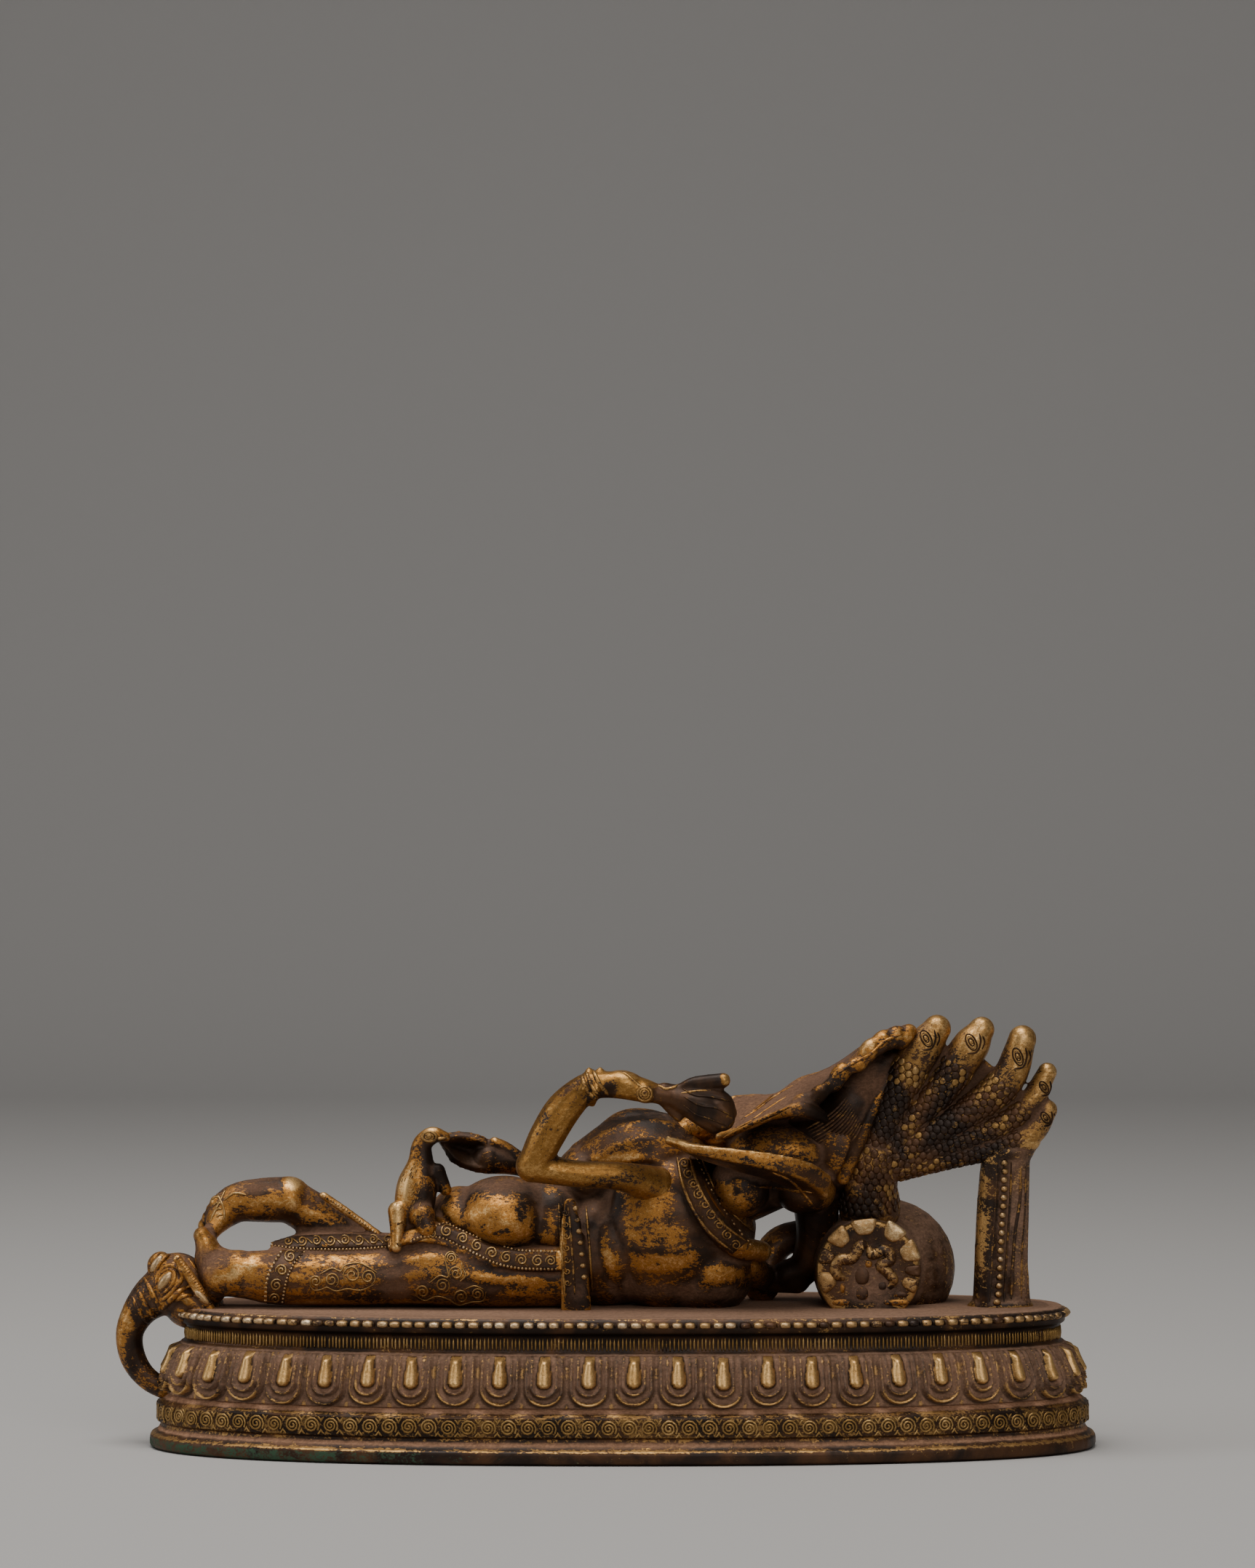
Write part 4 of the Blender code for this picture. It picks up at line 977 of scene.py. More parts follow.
def garment():
    """The skirt's flap over both legs, its hem bands and the sash over the near thigh."""
    flap = fig_sheet((
        ((-72.5, -4.5, 11.2), (-66, -5, 13), (-58, -5, 13.4), (-48, -5, 12.4)),
        ((-72.5, -1, 12.2), (-66, -1, 13.6), (-58, -1, 14.2), (-47, -1, 14)),
        ((-68, 5, 12), (-62, 5, 15.5), (-54, 5, 14), (-46, 6, 12.5)),
        ((-66, 10, 2), (-60, 12, 6), (-54, 12, 8), (-46, 13, 8)),
    ), 1.8)
    under = fig_ball(-59, 1, 7.5, 13, 6, 5.8)
    border = limb(at((-72, -4.9, 11.2, 0.9), (-66, -5.7, 12, 1.3), (-58, -6.2, 12.4, 1.4), (-47, -6.2, 12.2, 1.3)))
    far_hem = limb(at((-61.8, -1, 22.6, 0.9), (-56, -1.5, 18.6, 0.9), (-50.5, -2.2, 14.8, 0.8)))
    sash = fig_sheet((
        ((-48, -10.4, 12), (-44, -10.6, 13.4), (-38, -10.8, 13.4), (-31, -11.6, 10.6), (-25, -12, 8.6),
         (-12, -12.2, 8)),
        ((-48, -9, 13.6), (-44, -9.2, 15.4), (-38, -9.6, 16.6), (-31, -10.6, 14.2), (-25, -11.4, 11.8),
         (-12, -11.8, 11.6)),
        ((-48, -5, 13), (-44, -5, 15), (-38, -5, 17), (-31, -6, 15.2), (-25, -7, 12.6),
         (-12, -7, 12.4)),
    ), 1.5)
    return [flap, under, border, far_hem, sash]


def mouse():
    return [
        limb(at((-36.4, -6, 35, 1.1), (-39, -6, 35.3, 1.9), (-41.2, -6, 33.4, 2.1), (-41.5, -6, 29.6, 2.8),
                (-42.2, -6, 25.2, 4.2), (-43, -6, 20, 4.1), (-44, -6, 16.5, 3)), 0.9),
        limb(at((-46.2, -8.5, 20, 2), (-46.2, -9.5, 16, 1.5), (-46.3, -10.5, 12.6, 1.1))),
        limb(at((-41, -9, 19, 2.6), (-40, -10, 16.5, 2))),
        limb(at((-38, -6, 28, 1.6), (-36.4, -5, 24, 1.3))),
    ]


def torso():
    return [
        fig_ball(-24.5, 0, 18, 11, 13, 8.6),
        fig_ball(-33.5, 1, 17, 7, 10, 7.4),
        fig_ball(-24, 1, 8, 14, 12.5, 8.5),
        fig_ball(10, 0, 16, 17.6, 14.5, 17.5),
        fig_ball(-3, 1, 12, 13, 13, 12.5),
        fig_ball(-14.5, 0, 17, 8, 10, 9),
        fig_ball(17.6, 0, 8, 10, 12, 10.5),
        limb(at((-7.4, 1, 26.4, 6.6), (-0.4, 2, 29.4, 8.9), (8, 2, 30.4, 9.2), (15, 2, 25, 8)), 1.15),
        limb(at((-8.6, 2, 31, 2.6), (-3.4, 3, 33.6, 3.6), (1.6, 3, 36, 4.4), (8, 2, 34.6, 4.8), (14, 0, 31, 3.4))),
    ]


def belt():
    """The strap that falls from the belly, and the collar round the neck."""
    strap = limb(at((-10.8, -10.2, 21.6, 1.5), (-10.3, -11.9, 14, 2.8), (-9.8, -11.7, 7, 3.2),
            (-9.6, -11.2, 0.4, 3.3)), 0.3)
    collar = limb(at((13.8, -8.5, 29, 1.8), (15, -13, 24.5, 2.4), (18.6, -13.4, 18, 2.7), (23.4, -10.6, 13, 2.6),
                     (28.4, -6, 11.5, 2.2)))
    return [strap, collar]


def near_arm():
    hand = [
        limb(at((5.5, -18, 44.9, 2), (10, -18, 44, 2.1), (15, -18, 44.2, 1.9), (20.2, -17.6, 43.4, 1.8),
                (21.8, -17.4, 40.6, 1.5))),
        limb(at((10.5, -18.6, 43.6, 1.8), (16, -19.2, 42.4, 1.8), (20.8, -18.8, 40.4, 1.6))),
        limb(at((11, -18.4, 43, 1.7), (16, -19, 40.8, 1.8), (20.2, -18.6, 38.4, 1.5))),
        limb(at((12, -18, 42.2, 1.6), (15.6, -18.4, 39.8, 1.7), (18.6, -18, 37.6, 1.4))),
        limb(at((8.5, -18, 45.4, 1.5), (11.4, -18, 45.4, 1.2), (14.6, -18, 46.6, 1.5), (20.4, -18, 47.3, 1.55))),
        limb(at((14, -18.5, 42.5, 1.7), (20, -18.5, 41.5, 1.9), (21, -18, 38.8, 1.7), (18, -17.5, 38.2, 1.4))),
        limb(at((8.6, -17.5, 43.4, 1.6), (10.4, -17.5, 41, 1.3), (11.4, -17.5, 39.6, 0.9))),
    ]
    sleeve = [
        fig_ball(0.4, -18, 46.6, 4.4, 3, 2.7, (0, 12, 0)),
        fig_ball(4.4, -18.6, 44.9, 2.6, 2.6, 2.2, (0, 30, 0)),
        limb(at((-8.9, -17.6, 43.4, 0.8), (-8.2, -20.9, 45.6, 0.8), (-6.8, -17.6, 49.2, 0.8))),
        limb(at((-6.2, -17.6, 42.6, 0.8), (-5.4, -20.9, 45.4, 0.8), (-4.6, -17.6, 49.2, 0.8))),
    ]
    arm = [
        limb(at((-17.9, -17, 30.6, 3.4), (-15.3, -18, 36.1, 3.7), (-11.9, -18, 41.6, 3.7), (-7.4, -18, 45.8, 3),
                (-4, -18, 46.4, 2.8), (0, -18, 46.2, 2.8), (4.4, -18, 45.2, 2.5), (7.6, -18, 44.4, 1.9))),
        limb(at((-18.4, -16.6, 29.8, 3.4), (-10, -16, 28.2, 2.8), (0, -14, 27.4, 3), (7, -9, 25, 4.2))),
    ]
    return arm + sleeve + hand


def far_arm():
    return [
        limb(at((10, 9, 30, 4.5), (-2, 13, 26, 3.4), (-14, 11, 26.6, 2.9), (-22, 7, 28.6, 2.6), (-28, 6, 29.6, 3.2))),
        fig_sheet((
            ((-38.4, 3, 34.4), (-34, 4, 35), (-29.6, 4, 34.2), (-26.5, 5, 32)),
            ((-38.2, 4, 33.2), (-34, 6.5, 32), (-30, 7.5, 31), (-25.5, 7.5, 30)),
            ((-35.4, 3, 29.6), (-32.6, 3.5, 28), (-29, 3.5, 27.2), (-25, 5, 27.2)),
        ), 1.8),
        limb(at((-26.6, 5, 33.2, 1.1), (-24.4, 5.5, 31.9, 1.4), (-21.4, 6, 29.4, 1.7))),
    ]


def head():
    return [
        fig_ball(33, 0, 31.5, 12, 10, 7),
        fig_ball(44, 0, 32.5, 8.5, 8, 10),
        fig_ball(24, -7, 24.8, 6.5, 7, 6.4),
        fig_ball(19.6, 3, 34.2, 5, 6, 3),
        fig_ball(37.5, -5, 24, 6.5, 7.5, 5),
        limb(at((14, 1, 20, 8), (24, 0, 23, 6.6), (32, 0, 27, 7)), 1.3),
        limb(at((38, 1, 38.4, 4.6), (30, 1, 38.4, 4.4), (22, 1, 37.6, 3.8), (15, 0, 36.4, 3.2),
            (10.6, 0, 34.6, 2.8)), 1.2),
        limb(at((40, 1, 22, 5), (40, 3, 14, 4.2), (38, 4, 7.5, 3.6), (34, 4, 5.6, 3.2))),
        limb(at((21, -5, 12, 3.4), (26, -2, 8, 3.2), (30, 4, 5, 2.8), (36, 4, 4.8, 3))),
        limb(at((45, 10, 13, 4), (36.6, 12, 13, 3.4), (31.6, 12, 10.6, 3.4), (29, 11, 3, 3.8)), 1.2),
    ]


def ears():
    near = fig_sheet((
        ((8.6, -17, 35.6), (14, -20.5, 34.6), (21.6, -21.5, 33.8), (30.4, -20.5, 32.6),
         (38, -18, 30.6), (42.4, -13, 27.4)),
        ((8.8, -15, 34.9), (14.4, -20, 33.1), (22, -21.5, 31.5), (30.4, -21, 29.7),
         (37, -18.5, 27.2), (41.8, -13, 23.4)),
        ((12, -10, 33.4), (16, -14, 31.6), (22.5, -15, 29.6), (30, -14, 27.4),
         (36, -12, 24.8), (40, -9, 22)),
        ((18, -3, 31.5), (21, -5, 30.2), (25.5, -5.5, 28.8), (31, -5, 27),
         (35.5, -4, 25.2), (39, -3, 23.6)),
    ), 1.5)
    far = fig_sheet((
        ((16, 16, 37), (23, 19, 38.2), (31, 19, 38.6), (39, 16, 38.4)),
        ((20, 9, 38), (25, 11, 38.6), (31, 11, 39), (38, 9, 39)),
        ((23, 3, 37.6), (27, 4, 38), (32, 4, 38.4), (37, 3, 38.4)),
    ), 1.6)
    return [near, far]


def crown():
    """The leaf crown: a folded rim towards the viewer, and a rising back that meets the serpents."""
    rim = ((19.7, -9, 35.2), (25.8, -11, 37.6), (31.2, -12, 40), (36.2, -12, 41.6), (40.2, -12, 43),
           (43.6, -12, 47), (50, -11, 51.2), (54.6, -9, 55), (59.8, -7, 55.8))
    back = ((22.6, -1, 42.6), (27, -1, 42.8), (31.8, -1, 43), (36.6, -1, 46.2), (41, -1, 47.6),
            (45, -1, 49.6), (50.6, -2, 53.6), (53.8, -2, 55.4), (59.4, -3, 55.6))
    far = ((24, 7, 37), (28, 9, 37.6), (32.2, 9, 38), (37, 9, 41), (41.6, 9, 43),
           (45.4, 8, 45.4), (50.6, 6, 49.8), (53.8, 4, 52.6), (57.2, 2, 53.6))
    leaf = fig_sheet((rim, back, far), 1.7)
    own = np.random.default_rng(81)
    lip = limb(at(*[(x, y, z, 0.9) for x, y, z in rim]))
    leaf_tip = limb(at((31, -12.5, 39.6, 0.7), (36, -13.6, 41.2, 1.7), (40, -13.2, 40, 1.5),
            (41.4, -12.8, 38.8, 0.8)))
    tufts = []
    for share in np.linspace(0.4, 0.96, 10):
        x, y, z = (np.interp(share, np.linspace(0, 1, len(rim)), [spot[k] for spot in rim]) for k in range(3))
        size = own.uniform(1.5, 2.5)
        tufts.append(fig_ball(x + own.uniform(-0.6, 0.4), y + 0.2, z + own.uniform(0, 0.9), size * 1.3, size * 0.9,
                size * 0.85, (0, -35 + own.uniform(-25, 25), 0)))
    return [leaf, lip, leaf_tip] + tufts


def hair():
    """Combed strands under the crown, and the band that ties them."""
    mass = [
        fig_ball(46.5, 0, 38.5, 8.5, 6, 12.5, (0, 28, 0)),
        fig_ball(52, -1, 45.5, 6, 6, 10, (0, 35, 0)),
        fig_ball(40, 0, 35, 9, 7.5, 7),
        fig_ball(46, -2, 40, 7, 6.5, 9, (0, 35, 0)),
    ]
    band = limb(at((45.2, -7, 26.5, 1.4), (47.6, -7.4, 32, 1.5), (50.2, -7, 38.4, 1.5), (53.6, -6, 45.4, 1.4),
                   (57, -5.6, 50.4, 1.2)))
    return mass + [band]


SERPENTS = (
    ((49, -4, 24.5, 3.2), (53.4, -4, 36.5, 3.3), (57.4, -5, 45.9, 3.4), (61.6, -5.5, 53, 3.6),
     (64.6, -5.5, 57.2, 2.6)),
    ((52, -4, 28, 3), (58.6, -4, 37.3, 2.9), (65.6, -4.5, 45, 3.1), (71.4, -5, 53.4, 3.5), (73.8, -5, 57, 2.4)),
    ((53.6, -4, 28.4, 2.8), (61.9, -4, 34.6, 2.8), (71, -4, 39.8, 2.9), (79.2, -4.5, 46.8, 3.2),
     (82.2, -4.5, 55, 2.6)),
    ((53.6, -4, 28, 2.6), (65, -3.6, 32.6, 2.4), (75.6, -3.6, 36.4, 2.4), (83.4, -3.6, 41.4, 2.4),
     (87.4, -3.6, 48.2, 1.8)),
    ((55, -4, 28, 2.4), (66.4, -3.4, 30.4, 2.1), (76.8, -3.4, 32.8, 2.2), (84, -3.4, 35.6, 2.5),
     (87.4, -3.6, 40.4, 1.9)),
)


def serpents():
    """Five hooded necks that fan out over the head, with the web of the hood between them."""
    necks = [limb(at(*[(x, y, z, 1.12 * r) for x, y, z, r in path])) for path in SERPENTS]
    web = []
    for low, high in zip(SERPENTS, SERPENTS[1:]):
        web.append(fig_sheet((
            [(x, -2, z) for x, _, z, _ in low[:4]],
            [(x, -2, z) for x, _, z, _ in high[:4]],
        ), 3.6))
    stem = limb(at((51.5, -3, 30, 5.6), (50.8, -2, 25, 5.6), (51, 0, 20, 6.4)))
    return necks + web + [stem]


def bolster():
    """A round cushion set across the base, its end face carved with petals round a vase."""
    face = fig_ball(50.6, 0, 7.4, 11.4, 8.6, 11.8)
    front = bolster_face()
    body = fig_ball(54.4, 8, 6.9, 14.8, 11.5, 14.4)
    return [face, front, body]


def bolster_face():
    bm = bmesh.new()
    place = Matrix.Translation(fig(50.4, -4, 7.4)) @ Euler((math.radians(90), 0, 0)).to_matrix().to_4x4()
    bmesh.ops.create_cone(bm, cap_ends=True, segments=40, radius1=11.2 * SHARE, radius2=10.6 * SHARE,
                          depth=9 * SHARE, matrix=place)
    return held_mesh(bm, "face")


def post():
    """The strap that holds up the hood: a channelled face, a flared foot, and a head that meets the lowest neck."""
    face = limb(at((75.3, -3, -1, 3.4), (75.2, -3.2, 8, 2.9), (75.6, -3.2, 20, 2.8), (76.4, -3.2, 30, 2.7)))
    side = limb(at((80.8, -2.4, -1, 3.5), (80.6, -2.6, 8, 3), (80.8, -2.6, 20, 3), (81.2, -2.8, 31, 2.8)))
    inner = block(fig(78.2, -1.6, 15), (8.4 * SHARE, 5 * SHARE, 32 * SHARE))
    foot = fig_ball(77.8, -2.5, 0, 7, 4.4, 1.8)
    top = [fig_ball(79.4, -3, 31.6, 5.4, 3.2, 2.6), fig_ball(82, -3.2, 34, 4.2, 3, 2.8)]
    return [face, side, inner, foot] + top


def spout():
    """The elephant's head at the foot end of the base, with its trunk curling back to the petals."""
    end = -HALF_LENGTH

    def place(x, y, z):
        return (end + x * MM, y * MM, TOP + z * MM)

    def rows(*items):
        return [(*place(x, y, z), r * MM) for x, y, z, r in items]

    return [
        ball(place(5.6, -1, 4.4), (0.0062, 0.007, 0.0064)),
        ball(place(9, -1, 0), (0.0062, 0.0072, 0.005)),
        ball(place(4.2, -6.2, 5), (0.0024, 0.0014, 0.0024), (0, 35, 0)),
        ball(place(1.4, 3.6, 8), (0.0024, 0.002, 0.0028), (0, 35, 0)),
        ball(place(2, -3.6, 8.6), (0.0022, 0.0022, 0.0026), (0, 35, 0)),
        limb(rows((4, -2, 3.6, 5.6), (0.6, -2, 1.6, 4.6), (-2.4, -2, -1.6, 3.5), (-4.2, -2, -6, 2.9),
                  (-3.4, -2, -11, 2.7), (-0.6, -2, -15, 2.4), (3.4, -2, -17.2, 2.3), (7, -2, -17.6, 2.3))),
        limb(rows((6.2, -7.4, 10, 1), (9.4, -8.4, 5.6, 1.2), (13.2, -8.2, -0.8, 1.2)), 0.8),
        limb(rows((3, -6.6, 1.2, 0.9), (6.4, -7.6, 2.6, 1.1), (11, -7.8, -0.4, 1.4))),
    ]


# Skins: the forms of a group fused into one, then carved, weathered and given painted shade


def fused(name, forms, voxel, floor):
    """One closed skin round all the forms that overlap, with softened joins, standing on the base."""
    bm = bmesh.new()
    for form in forms:
        bm.from_mesh(form)
        bpy.data.meshes.remove(form)
    item = bpy.data.objects.new(name, held_mesh(bm, name))
    pieces_home.objects.link(item)
    remesh = item.modifiers.new("One skin", "REMESH")
    remesh.mode = "VOXEL"
    remesh.voxel_size = voxel
    soften = item.modifiers.new("Soft joins", "SMOOTH")
    soften.factor = 0.5
    soften.iterations = SMOOTHING
    result = evaluated_mesh(item)
    drop(item)
    if floor is not None:
        places = points_of(result)
        places[:, 2] = np.maximum(places[:, 2], floor)
        move_points(result, places)
    return result


def edges_of(mesh):
    flat = np.empty(len(mesh.edges) * 2, dtype=np.int32)
    mesh.edges.foreach_get("vertices", flat)
    return flat.reshape(-1, 2)


def averaged(values, edges, rounds):
    """Values smoothed over a mesh by passing them along its edges."""
    count = len(values)
    ends = np.concatenate([edges[:, 0], edges[:, 1]])
    others = np.concatenate([edges[:, 1], edges[:, 0]])
    weight = np.maximum(np.bincount(ends, minlength=count), 1)
    work = np.array(values, dtype=float)
    for _ in range(rounds):
        work = np.stack([0.5 * work[:, k] + 0.5 * np.bincount(ends, work[others, k], count) / weight
                         for k in range(work.shape[1])], axis=1)
    return work


def photo_place(places):
    """Where each place falls in the photograph's frame."""
    depth = places[:, 1] - EYE.y
    step = SENSOR / LENS / PHOTO_HEIGHT
    across = PHOTO_WIDTH / 2 + (places[:, 0] - EYE.x) / depth / step
    down = PHOTO_HEIGHT / 2 - (places[:, 2] - EYE.z) / depth / step
    return across, down


def crests(mesh, rounds):
    """How far the skin stands out from its smoother self, in millimetres: above zero on crests, below in hollows."""
    fine = averaged(points_of(mesh), edges_of(mesh), 4)
    smooth = averaged(fine, edges_of(mesh), rounds)
    return np.einsum("ij,ij->i", fine - smooth, normals_of(mesh)) / MM


def weather_and_shade(mesh, gilt, dust, patches, up_dust=0.35):
    """Paints wear on crests, dust and painted shade in hollows, dust on what faces up, and the patches that the
    photograph shows.
    """
    places, normals = points_of(mesh), normals_of(mesh)
    near = np.clip(crests(mesh, 9), -0.12, 0.16)
    broad = crests(mesh, 40)
    up = np.clip(normals[:, 2], 0.0, 1.0)
    front = smoothstep(0.25, -0.15, normals[:, 1])
    gilt_now = gilt + 3.0 * near + 0.7 * np.clip(broad, -0.4, 0.5)
    dust_now = dust - 2.8 * near - 0.5 * np.clip(broad, -0.6, 0.5) + up_dust * up
    # Painted shade: darker in fine creases and in broad hollows
    shade_now = 2.4 * np.clip(-near - 0.015, 0.0, 0.25) + 0.5 * np.clip(-broad - 0.05, 0.0, 0.8)
    across, down = photo_place(places)
    for x, y, wide, high, turn, more_gilt, more_dust, more_shade in patches:
        angle = math.radians(turn)
        a = ((across - x) * math.cos(angle) + (down - y) * math.sin(angle)) / wide
        b = ((down - y) * math.cos(angle) - (across - x) * math.sin(angle)) / high
        share = np.exp(-(a * a + b * b) ** 1.5) * front
        gilt_now = gilt_now + (0.72 if more_gilt > 0 else 1.0) * more_gilt * share
        dust_now = dust_now + more_dust * share
        shade_now = shade_now + more_shade * share
    paint(mesh, gilt=np.clip(gilt_now, 0.0, 1.4), dust=np.clip(dust_now, 0.0, 1.1),
          shade=np.clip(shade_now, 0.0, 0.95))


def skin_piece(name, forms, finish_name, voxel, home=FIGURE, floor=TOP - GAP, carve=None, **wear):
    """A fused, carved and weathered skin with painted shade in its hollows, which carries the chased work."""
    mesh = fused(name, forms, voxel, floor)
    if carve:
        carve(mesh)
    weather_and_shade(mesh, **wear)
    return piece(name, mesh, finish_name, home)


# Chased work: lines, curls and beads laid on the skins where the photograph shows them


def on_skin(across, down, carriers, lift=0.0):
    """The nearest place on the carrying pieces that is seen at a place in the photograph, and its facing."""
    way = sight(across, down)
    best = None
    for carrier in carriers:
        hit, place, facing, _ = carrier.ray_cast(EYE, way)
        if hit and (best is None or (place - EYE).length < best[0]):
            best = ((place - EYE).length, place, facing)
    if best is None:
        return None
    return best[1] + best[2] * lift, best[2]


def smooth_path(points, steps=5):
    """A smooth path through points of the photograph's frame, with any further numbers carried along."""
    return [tuple(row) for row in between(points, steps)]


def laid_line(points, carriers, thickness, lift, steps=5, smooth=True, taper=True):
    """A line laid on the skin, thinner towards both ends. Places that miss the skin are left out."""
    path = smooth_path(points, steps) if smooth else points
    spots = [on_skin(x, y, carriers, lift) for x, y in path]
    spots = [spot[0] for spot in spots if spot]
    if len(spots) < 3:
        return []
    kept = [spots[0]]
    for spot in spots[1:]:
        if (spot - kept[-1]).length < 3.0 * MM:
            kept.append(spot)
    count = len(kept)
    if count < 3:
        return []
    share = np.linspace(0.0, 1.0, count)
    thick = np.full(count, thickness * LINE_SHARE)
    if taper:
        thick = thick * (0.45 + 0.55 * np.clip(np.minimum(share, 1 - share) * 8, 0.0, 1.0))
    return [(kept, thick)]


def laid_lines(rows, carriers, lift, **how):
    """Lines laid one after another, from rows of a path and its thickness."""
    return [line for path, thick in rows for line in laid_line(path, carriers, thick, lift, **how)]


def laid_curls(rows, turns, start, carriers, thickness, lift):
    """Curls laid one after another, from rows of place, radius and hand."""
    paths = [(curl(x, y, radius, turns, start, hand), thickness) for x, y, radius, hand in rows]
    return laid_lines(paths, carriers, lift, smooth=False)


def laid_ring(x, y, wide, high, carriers, thickness, count=17, lean=0.0):
    """A closed oval laid round (x, y) of the photograph's frame."""
    ring = []
    for a in np.linspace(0, 2 * math.pi, count):
        u, v = wide * math.cos(a), high * math.sin(a)
        ring.append((x + u * math.cos(lean) + v * math.sin(lean), y - u * math.sin(lean) + v * math.cos(lean)))
    return laid_line(ring, carriers, thickness, 0.0, smooth=False, taper=False)


def laid_band(name, one_edge, other_edge, carriers, rise, finish_name, columns=70, rows=7, **wear):
    """A flat band with a crisp step at its edges, laid on the skins between two lines of the photograph's frame."""
    one = resampled(one_edge, columns)
    other = resampled(other_edge, columns)
    shares = np.linspace(0.0, 1.0, rows)
    spots = np.full((columns, rows, 3), np.nan)
    outs = np.zeros((columns, rows, 3))
    for i in range(columns):
        for j, t in enumerate(shares):
            found = on_skin(*(one[i] * (1 - t) + other[i] * t), carriers)
            if found:
                spots[i, j] = found[0]
                outs[i, j] = found[1]
    for j in range(rows):
        known = np.flatnonzero(~np.isnan(spots[:, j, 0]))
        for k in range(3):
            spots[:, j, k] = np.interp(np.arange(columns), known, spots[known, j, k])
    depth = spots[:, :, 1]
    for _ in range(3):
        depth[1:-1] = 0.25 * depth[:-2] + 0.5 * depth[1:-1] + 0.25 * depth[2:]
    outs /= np.maximum(np.linalg.norm(outs, axis=2), 1e-6)[..., None]
    lean = outs * 0.5 + np.array([0.0, -0.5, 0.0])
    top = spots + lean * rise * MM
    under = spots - lean * 0.9 * MM
    bm = bmesh.new()
    upper = [[bm.verts.new(tuple(top[i, j])) for j in range(rows)] for i in range(columns)]
    lower = [[bm.verts.new(tuple(under[i, j])) for j in range(rows)] for i in range(columns)]
    top_rows, low_rows = list(zip(*upper)), list(zip(*lower))
    bridge(bm, low_rows[::-1] + top_rows + low_rows[-1:])
    bridge(bm, (upper[0], lower[0]))
    bridge(bm, (upper[-1][::-1], lower[-1][::-1]))
    bmesh.ops.recalc_face_normals(bm, faces=bm.faces)
    mesh = held_mesh(bm, name)
    own = np.random.default_rng(columns + rows)
    paint(mesh, gilt=wear.get("gilt", 0.2) + own.uniform(-0.1, 0.1, len(mesh.vertices)), dust=wear.get("dust", 0.4),
          shade=wear.get("shade", 0.25))
    return piece(name, mesh, finish_name)


def resampled(points, count):
    """A smooth path through the points, cut into evenly spaced places."""
    path = np.array(smooth_path(points, 8))
    way = way_along(path)
    marks = np.linspace(0.0, way[-1], count)
    return np.stack([np.interp(marks, way, path[:, 0]), np.interp(marks, way, path[:, 1])], axis=1)


def curl(x, y, radius, turns, start, hand=1):
    """A flat curl round (x, y) in the photograph's frame, from its eye outwards."""
    return [(x + across, y + down) for across, down in spiral(radius, turns, start, hand)]


def threads(name, lines, finish_name, gilt, dust, shade=0.0, sides=6, home=FIGURE):
    """One piece of all the lines of a finish, rubbed bright on top, with painted shade on the sides that turn from the
    front.
    """
    mesh = grown_mesh(line_mesh(lines), "threads", {"Finish": finish(finish_name), "Thickness": MM, "Sides": sides})
    count = len(mesh.vertices)
    speck = np.random.default_rng(len(lines)).uniform(-0.25, 0.2, count)
    up = np.clip(normals_of(mesh)[:, 2], -0.5, 1.0)
    front = smoothstep(0.6, -0.6, normals_of(mesh)[:, 1])
    # Sides turned away from the front get less gilt, more dust and painted shade
    paint(mesh, gilt=gilt * (0.45 + 0.55 * front) + speck + 0.15 * up, dust=dust + 0.2 * (1 - front),
          shade=shade + 0.25 * (1 - front))
    piece(name, mesh, finish_name, home)


def bead_row(points, pitch, carriers, lift):
    """Spots a pitch apart along a path of the photograph's frame, with their facing and way ahead."""
    path = np.array(smooth_path(points, 8))
    way = way_along(path)
    rows = []
    for mark in np.linspace(0.0, way[-1], max(2, int(round(way[-1] / pitch)))):
        (x, y), before, after = ([np.interp(mark + step, way, path[:, k]) for k in (0, 1)]
                                 for step in (0.0, -1.0, 1.0))
        spot = on_skin(x, y, carriers, lift)
        if spot:
            rows.append((*spot, Vector((after[0] - before[0], 0.0, before[1] - after[1])).normalized()))
    return rows


def bead_rows(name, rows, carriers, gilt, dust, lift=0.0, motif=None):
    """One piece of many beads, from rows of a path, a pitch and the beads' radius along, across and up."""
    spots, wear = [], []
    own = np.random.default_rng(len(rows) + 3)
    for points, pitch, size in rows:
        for spot in bead_row(points, pitch, carriers, lift):
            spots.append((*spot, [part * MM * own.uniform(0.92, 1.06) for part in size]))
            wear.append(gilt * own.uniform(0.65, 1.15))
    set_motifs(name, motif or bead_mesh(8, 5), zip(*spots), "roller_gilt", gilt=np.array(wear), dust=dust)
